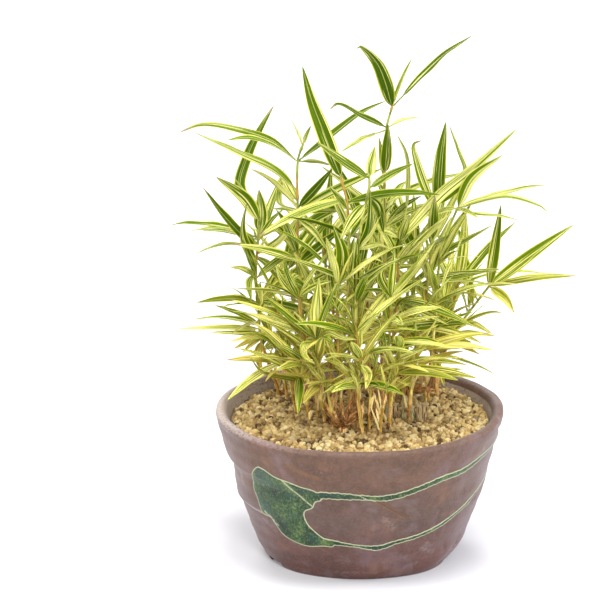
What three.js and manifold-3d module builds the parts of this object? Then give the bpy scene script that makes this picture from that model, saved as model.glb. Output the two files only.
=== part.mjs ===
// Potted variegated dwarf bamboo: a stoneware bowl full of gravel, with nearly forty leafy stems standing in it.
// Millimetres, +Z up. The origin is the middle of the pot's underside, +X runs right, +Y away from the viewer.
import * as THREE from "three";
import { mergeVertices } from "three/addons/utils/BufferGeometryUtils.js";
import Module from "manifold-3d";

const wasm = await Module();
wasm.setup();

// Driving dimensions of the pot
const RIM_RADIUS = 65;
const BASE_RADIUS = 40;
const POT_HEIGHT = 67;
const WALL = 5.5;
const FLOOR = 7;
const POT_SIDES = 44;

// Drainage under the pot: a hole and a channel to the edge at each of three angles, in degrees from +X
const DRAIN_ANGLES = [90, 202, 338];
const DRAIN_AT = 18;
const DRAIN_RADIUS = 4;
const CHANNEL_WIDTH = 7;
const CHANNEL_DEPTH = 3;
const CHANNEL_START = 12;
const NET_SIZE = 15;
const NET_THICK = 1;
const NET_CELLS = 2;
const NET_BAR = 1.4;

// Gravel
const GRAVEL_EDGE = 60.5;
const GRAVEL_MOUND = 3.2;
const GRAVEL_RINGS = 10;
const GRAIN_RELIEF = 1.1;

// Stems and blades
const ROOT_DEPTH = 11;
const STRAIGHT_TO = 66;
const HOLE_SPARE = 0.5;
const STEM_SIDES = 5;
const STEM_STEP = 13;
const TIP_SPARE = 2.5;
const BLADE_THICK = 0.8;
const BLADE_FOLD = 0.12;
const SHORT_BLADE = 34;
const GAP = 0.3;

// Points on the plant are given as they appear from the front at this angle above level: across, depth, up.
// The true height of such a point is up - depth * VIEW_SLOPE.
const VIEW_PITCH = (18.5 * Math.PI) / 180;
const VIEW_SLOPE = Math.tan(VIEW_PITCH);

// Each leafy stem has the place of its root, its way up, its blades by hand and its fans of blades by rule.
// path: [across, depth, up]
// blades: [up on the stem, length of bare stalk, width as it appears, depth of the tip, then across and up of
// the midrib's points]
// fans: [up on the stem, number of blades], with the heading of the fan's middle in degrees if it is one-sided
const STEMS = [
  {
    root: [9, 14],
    path: [[10.5, 15, 100], [11.5, 16, 147], [11, 17, 178], [12, 18, 200], [15, 18, 212]],
    blades: [
      [212, 0, 6.5, 8, 11, 222, 7, 231, 0, 238, -2, 236.5],
      [212, 8, 2.8, 32, 37, 234, 51, 244],
      [212, 3, 1.8, 14, 19, 223, 23.5, 233],
      [200, 2, 2.8, 6, 0, 206, -10, 211, -14, 208],
      [200, 4, 1.3, 34, 20, 204, 28, 205],
      [199, 6, 2, 2, -9, 188],
      [178, 1, 5.2, 12, 12, 190, 12.5, 202],
      [176, 1, 3, 26, 8.5, 196],
      [164, 3, 2.2, 34, 30, 174, 48, 179],
      [154, 2, 3, 28, 20, 163, 28, 168],
      [153, 2, 3, 14, 20, 159, 27, 162],
    ],
    fans: [[140, 4], [120, 4], [160, 3]],
  },
  {
    root: [-24, 10],
    path: [[-25, 11, 100], [-28, 12, 140], [-28, 12, 161], [-28, 12, 184], [-25, 13, 194]],
    blades: [
      [184, 4, 2.6, 0, -40, 194, -60, 200, -72, 201, -82, 197],
      [184, 3, 2.8, 30, -20, 190.5, -10, 199, 0, 207, 12, 213],
      [192, 1, 2, 10, -22, 201],
      [192, 1, 1.3, 22, -31, 204],
      [184, 3, 1.8, 20, -12, 182],
      [184, 5, 1.4, -6, -40, 192, -50, 195, -60, 193.5],
      [170, 3, 3.8, 22, -38, 180, -50, 186, -75, 198],
      [163, 3, 3, 14, -40, 175, -50, 181],
      [162, 2, 4.2, 2, -20, 171, -12, 181],
      [161, 2, 3.8, -4, -10, 171, 10, 180.5],
      [160, 2, 3.2, 22, -7, 160],
      [160, 2, 1.5, 5, -40, 161.5],
      [165, 1, 4.4, 26, -32, 172, -36, 179],
      [161, 1, 3.2, 36, -36, 164, -36, 172, -33, 178],
      [157, 1, 3, 4, -21, 151, -14, 141],
    ],
    fans: [[140, 4], [122, 4], [152, 2, 0]],
  },
  {
    root: [-5, -9],
    path: [[-5, -8, 100], [-5, -6, 130], [-5.5, -5, 161], [-9, -5, 178]],
    blades: [
      [178, 1, 7, 4, -17, 199, -22, 213, -26, 229],
      [161, 2, 3, -14, -14, 172],
    ],
    fans: [[150, 3], [130, 4], [104, 4], [86, 3], [166, 2, 180]],
  },
  {
    root: [-1, -19],
    path: [[-2, -18, 100], [-1, -17, 142], [1, -15, 157], [4, -14, 172], [4, -14, 178]],
    blades: [
      [176, 2, 4.2, -24, -8, 184, -20, 193],
      [177, 1, 4.6, -4, 6.5, 191],
      [164, 1, 5.2, -24, -9, 147],
      [171, 1, 3.8, 2, 13, 177.5, 24, 183],
      [168, 1, 4.6, -6, 8, 162, 10.5, 150],
      [142, 2, 3.5, -20, 4, 152, 4.5, 171],
      [142, 2, 4.2, -8, 6, 155, 7.5, 171],
      [142, 1, 1.8, -26, 4, 148, 9, 158],
      [142, 1, 2.2, -2, 8, 144.5, 14, 142],
    ],
    fans: [[122, 4], [100, 4], [82, 4]],
  },
  {
    root: [13, 3],
    path: [[15, 3, 100], [17, 2, 120], [17, 1, 140], [19, 0, 150]],
    blades: [
      [150, 1, 5.2, 14, 36, 168, 50, 180, 71, 200],
      [150, 14, 1.2, 4, 22, 172, 21, 187, 16.5, 197],
      [138, 1, 4, -8, 18, 150],
      [148, 1, 3, -10, 8, 152],
    ],
    fans: [[138, 4], [120, 4], [104, 3], [90, 3], [146, 2, 150]],
  },
  {
    root: [22, 12],
    path: [[27, 12, 100], [31, 12, 130], [33, 12, 150], [35, 12, 166]],
    blades: [
      [166, 1, 6.2, 10, 36, 185, 38.5, 203],
      [160, 4, 4.2, 2, 29, 172, 25, 185, 24, 192, 28, 194],
      [164, 1, 4, -2, 48, 175, 59, 184],
      [166, 9, 2, 34, 47, 178, 44, 190, 40, 202],
    ],
    fans: [[150, 4], [130, 4], [110, 4], [95, 3]],
  },
  {
    root: [29, -2],
    path: [[33, -1, 100], [36, 0, 140], [38, 0, 147], [43, 1, 160], [45, 1, 164]],
    blades: [
      [164, 1, 5, -4, 50, 176, 64, 187],
      [164, 1, 2.8, 16, 65, 169, 80, 172.5, 86, 172],
      [164, 4, 1.4, -8, 65, 167, 80, 163, 85, 159],
      [162, 1, 2.2, 12, 38, 161, 30, 158],
      [162, 1, 2.2, -12, 53, 157],
      [161, 3, 1.2, -16, 52, 159, 62, 158, 71, 156],
      [140, 1, 2.8, 8, 50, 148, 60, 154],
      [84, 5, 4.2, -18, 24, 82, 18, 78, 12, 74],
    ],
    fans: [[140, 3], [120, 4], [104, 3]],
  },
  {
    root: [28, 38],
    path: [[36, 37, 95], [41, 36, 112], [45, 34, 128]],
    blades: [
      [128, 1, 5.2, 30, 47, 145, 47.5, 163],
      [128, 1, 4, 42, 60, 145, 71, 156],
      [127, 2, 1.4, 48, 60, 131, 66, 132],
      [128, 1, 2.2, 26, 40, 140, 33, 153],
      [124, 2, 1.4, 20, 60, 126, 71, 126],
    ],
    fans: [[114, 4], [98, 4], [122, 2, -20]],
  },
  {
    root: [34, 41],
    path: [[39, 41, 95], [48, 42, 110], [58, 40, 124], [60, 40, 127]],
    blades: [
      [127, 1, 5.5, 28, 80, 142, 97, 154.5],
      [127, 2, 3.2, 48, 80, 129, 99, 130],
      [126, 2, 1.4, 36, 70, 131.5, 85, 131],
      [127, 1, 5.2, 44, 61.5, 147, 63.5, 164],
      [125, 1, 4.5, 30, 66, 119, 70, 112],
    ],
    fans: [[118, 3], [107, 4]],
  },
  {
    root: [35, 31],
    path: [[36, 31, 90], [39, 31, 98], [41, 30, 104]],
    blades: [
      [103, 1, 2.2, 24, 52, 110, 60, 112.5, 65, 112],
      [103, 2, 1.2, 14, 50, 107, 60, 102],
      [102, 1, 2.8, 20, 50, 102.5, 62, 101],
      [100, 1, 2.2, 32, 51, 98],
      [98, 1, 2.8, 10, 52, 95],
      [103, 1, 5.2, 26, 35, 120, 33, 133],
    ],
    fans: [[98, 4, 150]],
  },
  {
    root: [-37, 30],
    path: [[-42, 30, 90], [-45, 29, 102], [-46, 28, 118], [-47, 28, 130], [-46, 28, 146], [-45, 27, 158]],
    blades: [
      [142, 1, 4.2, 14, -60, 157, -71, 172],
      [146, 1, 4.2, 36, -42, 158, -34, 181],
      [146, 1, 2.6, 20, -40, 156, -34, 162],
      [140, 1, 3.2, 22, -36, 147, -27, 159],
      [134, 1, 4.2, 14, -53, 150, -51, 165],
      [158, 2, 6, 24, -52, 167, -65, 177],
      [158, 1, 1.8, 36, -57, 177],
      [158, 4, 5, 42, -54, 172, -51, 186, -46, 198, -38.5, 212],
      [148, 6, 1.6, 38, -60, 153, -78, 155, -86, 154],
      [148, 4, 1.4, 22, -64, 153, -78, 151],
      [147, 4, 1.6, 56, -60, 151, -74, 152],
      [143, 3, 1.8, 4, -53, 144.5, -60, 145, -68, 143, -74, 140],
      [130, 1, 2.8, 18, -53, 133.5, -59, 134],
      [116, 1, 3.2, 18, -45, 127],
      [117, 1, 3.2, 18, -55, 119, -65, 118.5, -74, 117],
      [107, 1, 2.4, 36, -55, 112, -66, 116],
      [106, 1, 2.4, 44, -55, 109, -65, 110, -77, 109],
      [104.5, 1, 2.8, 28, -60, 105, -83, 104.5],
      [103, 1, 2.4, 16, -55, 102.5, -68, 103],
      [102, 1, 2.4, 36, -50, 99, -57, 95],
      [100, 1, 2.4, 14, -53, 93],
      [115, 1, 3.2, 14, -38, 112, -34, 103],
      [150, 1, 6.4, 40, -44.5, 160, -45.5, 171],
      [148, 1, 4.2, 38, -38, 153, -33, 148, -25, 136],
      [113, 1, 4.2, 22, -42, 107, -40, 98],
      [99, 1, 4, 14, -46, 91, -44, 84],
      [127, 1, 2.6, 12, -45.5, 124, -44, 116],
      [131, 1, 3.4, 6, -50, 127, -49, 118],
    ],
    fans: [[130, 3], [118, 3], [96, 3], [110, 2, 170]],
  },
  {
    root: [-16, -12],
    path: [[-18, -13, 75], [-19, -14, 88], [-20, -15, 102]],
    blades: [
      [102, 1, 6, -20, -19.5, 116, -18.5, 129],
      [102, 1, 2.8, -30, -10, 127],
      [101, 1, 2.8, -20, -32, 110, -43, 120],
      [101, 1, 2.4, -36, -26, 108, -30, 113],
      [101, 1, 3.2, -30, -14, 103, -8, 100.5, -1, 99.5],
      [100, 1, 2.8, -40, -15, 100, -12, 97],
      [98, 1, 3.2, -32, -25, 97, -25, 92, -20, 88],
    ],
    fans: [[92, 3], [80, 2, -90]],
  },
  {
    root: [-19, -3],
    path: [[-20, -4, 76], [-22, -6, 88], [-26, -6, 105], [-28, -4, 122]],
    blades: [
      [87, 1, 2.8, -16, -31, 94, -39, 98],
      [87, 1, 2.4, -4, -30, 89.5, -39, 90.5],
      [86, 1, 2.4, -22, -30, 88, -38, 85],
      [78, 2, 2.8, -22, -30, 80.5, -44, 84, -50, 92],
      [105, 1, 2.4, -16, -36, 114.5, -43.5, 120.5],
      [121, 1, 3.4, -2, -35, 128, -38, 135],
      [122, 1, 3.4, -14, -32.5, 130, -34, 138],
    ],
    fans: [[122, 3], [106, 4], [90, 3]],
  },
  {
    root: [1, -27],
    path: [[-1, -27, 75], [0, -28, 90], [-2, -28, 106]],
    blades: [
      [88, 1, 4.2, -38, 3.5, 83, 2.5, 76],
      [82, 1, 2.8, -38, -10, 78, -17, 74],
      [90, 1, 2.2, -36, -8, 92, -18, 89.5],
    ],
    fans: [[106, 5], [92, 3], [80, 3]],
  },
  {
    root: [5, -14],
    path: [[8, -15, 70], [11, -16, 82], [13, -16, 98], [14, -15, 122]],
    blades: [
      [84, 2, 2.8, -8, 30, 85.5, 47, 85.5],
      [96, 1, 4.2, -24, 20, 98, 30, 99, 39, 96],
      [88, 1, 3.2, -30, 20, 92, 30, 96],
      [82, 1, 1.8, -32, 23, 77],
      [122, 1, 3.4, -6, 25, 133, 35, 148],
      [121, 1, 3.6, -24, 9, 130, 14, 138],
    ],
    fans: [[122, 3], [110, 4], [98, 3], [84, 3]],
  },
  {
    root: [-8, -15],
    path: [[-9, -15, 80], [-10, -15, 100], [-10, -15, 128]],
    blades: [
      [128, 1, 6.5, -18, -8, 140, -12, 153],
      [128, 3, 2, -12, 5, 137, 15, 143],
    ],
    fans: [[126, 3], [112, 4], [96, 4], [84, 3]],
  },
  {
    root: [-26, 20],
    path: [[-25, 17, 90], [-22, 12, 108], [-20, 8, 124]],
    blades: [[124, 1, 4.2, 0, -25, 133, -30, 141]],
    fans: [[122, 4], [108, 4], [92, 4]],
  },
  { root: [4, -22], path: [[5, -24, 75], [7, -26, 88], [9, -28, 98]], fans: [[98, 5], [86, 4]] },
  {
    root: [-12, 30],
    path: [[-14, 32, 100], [-15, 34, 125], [-16, 35, 147]],
    fans: [[147, 6], [126, 4], [108, 4]],
  },
  { root: [4, 34], path: [[4, 36, 100], [3, 38, 130], [2, 40, 154]], fans: [[154, 6], [132, 4], [112, 4]] },
  {
    root: [18, 38],
    path: [[20, 40, 100], [22, 43, 125], [24, 45, 150]],
    fans: [[150, 6], [128, 4], [110, 4]],
  },
  {
    root: [-24, 36],
    path: [[-27, 39, 100], [-31, 42, 122], [-34, 44, 138]],
    fans: [[138, 6], [120, 4], [106, 4]],
  },
  {
    root: [20, 21],
    path: [[22, 21, 100], [24, 21, 125], [26, 22, 142]],
    fans: [[142, 5], [124, 4], [106, 4]],
  },
  {
    root: [-2, 10],
    path: [[-1, 11, 95], [-1, 12, 118], [0, 12, 137]],
    fans: [[137, 5], [118, 4], [102, 4]],
  },
  {
    root: [-33, 22],
    path: [[-35, 20, 90], [-36, 18, 105], [-37, 16, 118]],
    blades: [[95, 1, 4, 4, -31, 99, -24, 103]],
    fans: [[118, 5], [104, 4, 180], [92, 3]],
  },
  {
    root: [22, -9],
    path: [[24, -11, 85], [25, -13, 100], [24, -15, 112]],
    fans: [[112, 5], [98, 4], [86, 2]],
  },
  {
    root: [-14, 7],
    path: [[-13, 7, 95], [-12, 6, 115], [-14, 5, 136]],
    fans: [[136, 5], [116, 4], [100, 3]],
  },
  {
    root: [11, 47],
    path: [[10, 51, 100], [9, 55, 120], [8, 58, 138]],
    fans: [[138, 6], [120, 4], [104, 3]],
  },
  {
    root: [-8, 45],
    path: [[-9, 49, 100], [-10, 53, 118], [-12, 56, 132]],
    fans: [[132, 6], [116, 4], [102, 3]],
  },
  {
    root: [31, 22],
    path: [[33, 21, 92], [36, 19, 106], [38, 17, 118]],
    fans: [[118, 5], [105, 4], [94, 3, 190]],
  },
  { root: [13, -19], path: [[15, -22, 78], [17, -26, 90], [18, -28, 98]], fans: [[98, 4], [88, 4]] },
  { root: [-23, -8], path: [[-26, -9, 78], [-30, -8, 92]], fans: [[92, 3, 200], [82, 2, -60]] },
  { root: [-12, -7], path: [[-13, -7, 80], [-13, -6, 104]], fans: [[104, 4], [90, 2]] },
  { root: [-12, -18], path: [[-14, -20, 72], [-17, -23, 84]], fans: [[84, 2, 200]] },
  { root: [-29, 3], path: [[-32, 3, 82], [-36, 2, 98]], fans: [[98, 3, 180]] },
  { root: [-3, -3], path: [[-2, -3, 90], [-3, -3, 118]], fans: [[118, 3]] },
  { root: [9, -25], path: [[10, -28, 66], [12, -31, 74]] },
];
const STEM_THICK = [1.9, 1.4]; // at the root and at the tip

// Clumps of dry sheaths: middle, number of blades, their reach and how far they stand up, in degrees
const SHEATH_CLUMPS = {
  dry_sheaths_front: { middle: [-7.5, -22], count: 9, reach: [8, 12], pitch: [40, 85], seed: 5 },
  dry_sheaths_back: { middle: [22, 30], count: 9, reach: [8, 13], pitch: [10, 50], seed: 9 },
};
const CLUMP_CORE = { radius: 2.6, low: 58, high: 66.5 };

// A row of old stems cut off short
const STUBS = { start: 11, pitch: 2.2, count: 6, depth: -5, stagger: 0.4 };
const STUB_POST = { radius: 1.6, sides: 5, low: 56, high: [66.5, 70.5] };

const materials = {
  clay: new THREE.MeshStandardMaterial({ color: 0x8a6f67, roughness: 0.85 }),
  gravel: new THREE.MeshStandardMaterial({ color: 0xc9a96c, roughness: 0.95 }),
  stem: new THREE.MeshStandardMaterial({ color: 0xaebb4a, roughness: 0.55 }),
  sheath: new THREE.MeshStandardMaterial({ color: 0x8c5a33, roughness: 0.9 }),
  stub: new THREE.MeshStandardMaterial({ color: 0x7f8763, roughness: 0.8 }),
  net: new THREE.MeshStandardMaterial({ color: 0x2b2c2a, roughness: 0.6 }),
};

// The same draws in the same order on every run
function dice(seed) {
  let state = seed;
  return (low, high) => {
    state = (Math.imul(state, 1664525) + 1013904223) >>> 0;
    return low + ((high - low) * state) / 4294967296;
  };
}

const clamp = (value, low, high) => Math.min(Math.max(value, low), high);
const degrees = (angle) => (angle * Math.PI) / 180;
const fromView = (across, depth, up) => new THREE.Vector3(across, depth, up - depth * VIEW_SLOPE);

function solidOf(geometry) {
  geometry.deleteAttribute("normal");
  geometry.deleteAttribute("uv");
  const merged = mergeVertices(geometry, 1e-4);
  return new wasm.Manifold(
    new wasm.Mesh({
      numProp: 3,
      vertProperties: merged.attributes.position.array,
      triVerts: new Uint32Array(merged.index.array),
    }),
  );
}

function geometryOf(points, triangles) {
  const geometry = new THREE.BufferGeometry();
  geometry.setAttribute("position", new THREE.Float32BufferAttribute(points, 3));
  geometry.setIndex(triangles);
  return geometry;
}

function meshOf(solid, name, material) {
  const { vertProperties, triVerts } = solid.getMesh();
  const mesh = new THREE.Mesh(geometryOf(Array.from(vertProperties), Array.from(triVerts)), material.clone());
  mesh.geometry.computeVertexNormals();
  mesh.name = name;
  return mesh;
}

// An upright prism or cone on a round of sides
function post(x, y, low, high, radius, sides, topRadius = radius) {
  const geometry = new THREE.CylinderGeometry(topRadius, radius, high - low, sides);
  geometry.rotateX(Math.PI / 2);
  geometry.translate(x, y, (low + high) / 2);
  return solidOf(geometry);
}

function box(width, length, height, x, y, z, turn = 0) {
  const geometry = new THREE.BoxGeometry(width, length, height);
  geometry.translate(x, y, z);
  geometry.rotateZ(turn);
  return solidOf(geometry);
}

// Pot: a turned bowl whose outside is a little uneven from the hand that made it
const POT_OUTSIDE = [
  [BASE_RADIUS, 0],
  [BASE_RADIUS + 2.5, 3],
  [46, 8],
  [49.8, 17],
  [54.4, 30],
  [59, 43.5],
  [59.8, 45.5],
  [62.8, 56],
  [RIM_RADIUS, 65],
];
const POT_LIP = [
  [RIM_RADIUS - 1.2, POT_HEIGHT],
  [RIM_RADIUS - WALL + 1.4, POT_HEIGHT],
];
const POT_INSIDE = [
  [RIM_RADIUS - WALL - 0.3, POT_HEIGHT - 1.8],
  [57.8, GRAVEL_EDGE],
  [43.5, 14],
  [36, FLOOR],
];

// How far the outside stands proud: a ledge on the left at mid height, and a slow wave round the pot
function unevenness(angle, z) {
  const left = Math.exp(-(((angle - degrees(205)) / 0.55) ** 2));
  const ledge = clamp((z - 43.5) / 2, 0, 1) * clamp((66 - z) / 12, 0, 1);
  const wave = 0.35 * Math.sin(3 * angle + 0.7) * Math.sin((Math.PI * z) / POT_HEIGHT);
  return left * ledge * 1.1 + wave;
}

function makePot() {
  const profile = [[0, 0], ...POT_OUTSIDE, ...POT_LIP, ...POT_INSIDE, [0, FLOOR]];
  const lathe = new THREE.LatheGeometry(profile.map(([r, z]) => new THREE.Vector2(r, z)), POT_SIDES);
  lathe.rotateX(Math.PI / 2);
  const place = lathe.attributes.position;
  const rows = profile.length;
  for (let i = 0; i < place.count; i++) {
    const row = i % rows;
    if (row < 1 || row > POT_OUTSIDE.length) continue;
    const angle = Math.atan2(place.getY(i), place.getX(i));
    const turn = angle < 0 ? angle + 2 * Math.PI : angle;
    const radius = Math.hypot(place.getX(i), place.getY(i)) + unevenness(turn, place.getZ(i));
    place.setX(i, radius * Math.cos(angle));
    place.setY(i, radius * Math.sin(angle));
  }
  let pot = solidOf(lathe);
  for (const angle of DRAIN_ANGLES) {
    const length = RIM_RADIUS - CHANNEL_START;
    const middle = CHANNEL_START + length / 2;
    pot = pot.subtract(box(length, CHANNEL_WIDTH, 2 * CHANNEL_DEPTH, middle, 0, 0, degrees(angle)));
    const x = DRAIN_AT * Math.cos(degrees(angle));
    const y = DRAIN_AT * Math.sin(degrees(angle));
    pot = pot.subtract(post(x, y, -1, FLOOR + 1, DRAIN_RADIUS, 12));
  }
  return pot;
}

// Net: a square of plastic mesh that lies over a drain hole
function makeNet(angle) {
  const z = FLOOR + GAP + NET_THICK / 2;
  const turn = degrees(angle);
  let net = box(NET_SIZE, NET_SIZE, NET_THICK, DRAIN_AT, 0, z, turn);
  const cell = (NET_SIZE - NET_BAR) / NET_CELLS;
  for (let i = 0; i < NET_CELLS; i++) {
    for (let j = 0; j < NET_CELLS; j++) {
      const x = DRAIN_AT + (i - (NET_CELLS - 1) / 2) * cell;
      const y = (j - (NET_CELLS - 1) / 2) * cell;
      net = net.subtract(box(cell - NET_BAR, cell - NET_BAR, 3 * NET_THICK, x, y, z, turn));
    }
  }
  return net;
}

// Gravel: fills the pot, and its top is a web of triangles on rings, one grain high or low at each corner
function makeGravel(holes) {
  const draw = dice(71);
  const outer = 6 * GRAVEL_RINGS;
  const edgeRadius = POT_INSIDE[1][0] - 2 * GAP;
  const points = [0, 0, GRAVEL_EDGE + GRAVEL_MOUND];
  const triangles = [];
  const first = (ring) => (ring === 0 ? 0 : 1 + 3 * ring * (ring - 1));
  for (let ring = 1; ring <= GRAVEL_RINGS; ring++) {
    const share = ring / GRAVEL_RINGS;
    const relief = ring < GRAVEL_RINGS ? GRAIN_RELIEF : 0;
    for (let i = 0; i < 6 * ring; i++) {
      const angle = (2 * Math.PI * (i + (ring < GRAVEL_RINGS ? draw(-0.25, 0.25) : 0))) / (6 * ring);
      const radius = edgeRadius * (share + (ring < GRAVEL_RINGS ? draw(-0.02, 0.02) : 0));
      const height = GRAVEL_EDGE + GRAVEL_MOUND * (1 - share ** 4) + draw(-relief, relief);
      points.push(radius * Math.cos(angle), radius * Math.sin(angle), height);
    }
    for (let side = 0; side < 6; side++) {
      for (let i = 0; i < ring; i++) {
        const a = first(ring) + side * ring + i;
        const b = first(ring) + ((side * ring + i + 1) % (6 * ring));
        const inner = Math.max(6 * (ring - 1), 1);
        const c = first(ring - 1) + ((side * (ring - 1) + i) % inner);
        triangles.push(a, b, c);
        if (i < ring - 1) triangles.push(b, first(ring - 1) + ((side * (ring - 1) + i + 1) % inner), c);
      }
    }
  }
  for (const [radius, height] of POT_INSIDE.slice(2)) {
    const z = Math.max(height, FLOOR + GAP);
    const base = points.length / 3;
    for (let i = 0; i < outer; i++) {
      const angle = (2 * Math.PI * i) / outer;
      points.push((radius - 2 * GAP) * Math.cos(angle), (radius - 2 * GAP) * Math.sin(angle), z);
      const next = (i + 1) % outer;
      const above = base - outer;
      triangles.push(above + i, base + i, base + next, above + i, base + next, above + next);
    }
  }
  const last = points.length / 3 - outer;
  points.push(0, 0, FLOOR + GAP);
  for (let i = 0; i < outer; i++) triangles.push(points.length / 3 - 1, last + ((i + 1) % outer), last + i);
  let gravel = solidOf(geometryOf(points, triangles));
  for (const angle of DRAIN_ANGLES) {
    const size = NET_SIZE + 2 * GAP;
    gravel = gravel.subtract(box(size, size, 4 * NET_THICK, DRAIN_AT, 0, FLOOR, degrees(angle)));
  }
  return gravel.subtract(wasm.Manifold.union(holes));
}

// A smooth line through points, as a cubic between each two with the slope of its neighbours' chord
function smoothLine(points) {
  const knots = [0];
  for (let i = 1; i < points.length; i++) knots.push(knots[i - 1] + points[i].distanceTo(points[i - 1]));
  const length = knots[knots.length - 1];
  const slopes = points.map((_, i) => {
    const before = Math.max(i - 1, 0);
    const after = Math.min(i + 1, points.length - 1);
    return points[after].clone().sub(points[before]).divideScalar(knots[after] - knots[before]);
  });
  const at = (t) => {
    const along = clamp(t, 0, 1) * length;
    let i = 0;
    while (i < points.length - 2 && along > knots[i + 1]) i++;
    const step = knots[i + 1] - knots[i];
    const u = (along - knots[i]) / step;
    return new THREE.Vector3()
      .addScaledVector(points[i], 2 * u ** 3 - 3 * u ** 2 + 1)
      .addScaledVector(slopes[i], (u ** 3 - 2 * u ** 2 + u) * step)
      .addScaledVector(points[i + 1], 3 * u ** 2 - 2 * u ** 3)
      .addScaledVector(slopes[i + 1], (u ** 3 - u ** 2) * step);
  };
  const heading = (t) => at(t + 0.01).sub(at(t - 0.01)).normalize();
  return { at, heading, length };
}

// The share of its full width that a blade has at t: rounded at the stalk, widest at a third, drawn out to a tip
function bladeWidth(t) {
  return Math.sin(Math.PI * clamp(t, 0, 1) ** 0.6) ** 0.75;
}

// Where the line of a stem reaches a height as it appears from the front, short of its very tip
function onStem(stem, up) {
  let low = 0;
  let high = 1 - TIP_SPARE / stem.line.length;
  for (let i = 0; i < 24; i++) {
    const middle = (low + high) / 2;
    const point = stem.line.at(middle);
    if (point.z + point.y * VIEW_SLOPE < up) low = middle;
    else high = middle;
  }
  return stem.line.at((low + high) / 2);
}

const SIGHT = new THREE.Vector3(0, Math.cos(VIEW_PITCH), -Math.sin(VIEW_PITCH));
const UP = new THREE.Vector3(0, 0, 1);

// A blade by hand: its line through the given points, and its face turned until it appears as wide as given
function handBlade(stem, [up, stalk, shown, tipDepth, ...pairs], shift) {
  const root = onStem(stem, up);
  const rootUp = root.z + root.y * VIEW_SLOPE;
  const flat = [new THREE.Vector2(root.x, rootUp)];
  for (let i = 0; i < pairs.length; i += 2) flat.push(new THREE.Vector2(pairs[i], pairs[i + 1]));
  if (flat.length === 2) {
    const middle = flat[0].clone().lerp(flat[1], 0.5);
    middle.y += 0.05 * flat[0].distanceTo(flat[1]);
    flat.splice(1, 0, middle);
  }
  const along = [0];
  for (let i = 1; i < flat.length; i++) along.push(along[i - 1] + flat[i].distanceTo(flat[i - 1]));
  const total = along[along.length - 1];
  const points = flat.map((p, i) => {
    const depth = root.y + ((tipDepth + shift - root.y) * along[i]) / total;
    return i === 0 ? root : fromView(p.x, depth, p.y);
  });
  const line = smoothLine(points);
  const width = Math.max(shown, Math.min(5.2, 0.1 * line.length + 1));
  const heading = line.heading(0.5);
  const side = heading.clone().cross(SIGHT).normalize();
  const face = side.clone().cross(heading);
  if (face.dot(SIGHT) > 0) face.negate();
  const roll = Math.min(Math.acos(Math.min(shown / width, 1)), degrees(72));
  const lean = side.z > 0 ? roll : -roll;
  const normal = face.multiplyScalar(Math.cos(lean)).addScaledVector(side, Math.sin(lean));
  return { line, width, normal, stalk: Math.max(stalk, 1.5) / line.length };
}

// A blade of a fan: it leaves the stem at a heading, arches over by its droop and lies open to the sky, its face
// turned a little to the light in front
function fanBlade(root, shape, turn, lift) {
  const heading = shape.turn + turn;
  const pitch = shape.pitch + lift;
  const out = new THREE.Vector3(Math.cos(heading), Math.sin(heading), 0);
  const way = out.clone().multiplyScalar(Math.cos(pitch)).addScaledVector(UP, Math.sin(pitch));
  const points = [0, 0.35, 0.7, 1].map((t) => {
    const point = root.clone().addScaledVector(way, shape.length * t);
    point.z -= shape.droop * shape.length * t * t;
    return point;
  });
  const face = out.clone().multiplyScalar(-Math.sin(pitch)).addScaledVector(UP, Math.cos(pitch));
  const side = way.clone().cross(face);
  const normal = face.multiplyScalar(Math.cos(shape.roll)).addScaledVector(side, Math.sin(shape.roll));
  normal.addScaledVector(SIGHT, -shape.lean);
  const line = smoothLine(points);
  return { line, width: shape.width, normal, stalk: 2 / line.length };
}

// The frame of a blade at t: its middle, its sideways direction and its upper side's normal
function bladeFrame(blade, t) {
  const middle = blade.line.at(t);
  const heading = blade.line.heading(t);
  const normal = blade.normal.clone().addScaledVector(heading, -blade.normal.dot(heading)).normalize();
  const side = heading.clone().cross(normal);
  return { middle, side, normal };
}

// Balls that cover a blade or a stem, for keeping one clear of another. Each is five numbers in a row: x, y, z,
// radius and how far along the blade it lies.
const COVER_STEP = 2.2;

function coverBlade(blade) {
  const count = Math.ceil(blade.line.length / COVER_STEP);
  const balls = [];
  for (let i = 1; i <= count; i++) {
    const t = i / count;
    const { middle, side } = bladeFrame(blade, t);
    const strip = (blade.width * bladeWidth((t - blade.stalk) / (1 - blade.stalk))) / 3;
    const radius = 0.5 * Math.hypot(COVER_STEP, strip) + 0.4;
    for (const k of [-1, 0, 1]) {
      const point = middle.clone().addScaledVector(side, k * strip);
      balls.push(point.x, point.y, point.z, radius, t * blade.line.length);
    }
  }
  return withBounds(balls);
}

function coverStem(stem) {
  const count = Math.ceil(stem.line.length / COVER_STEP);
  const balls = [];
  for (let i = 0; i <= count; i++) {
    const point = stem.line.at(i / count);
    balls.push(point.x, point.y, point.z, 0.5 * STEM_THICK[0] + 0.9, 0);
  }
  return withBounds(balls);
}

function withBounds(balls) {
  const low = [Infinity, Infinity, Infinity];
  const high = [-Infinity, -Infinity, -Infinity];
  for (let i = 0; i < balls.length; i += 5) {
    for (let k = 0; k < 3; k++) {
      low[k] = Math.min(low[k], balls[i + k] - balls[i + 3]);
      high[k] = Math.max(high[k], balls[i + k] + balls[i + 3]);
    }
  }
  return { balls, low, high };
}

// True if no ball of one cover touches a ball of another, past the first stretch of both if they share a stem
const SHARED_REACH = 8;
const SHARED_SHARE = 0.5;

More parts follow.
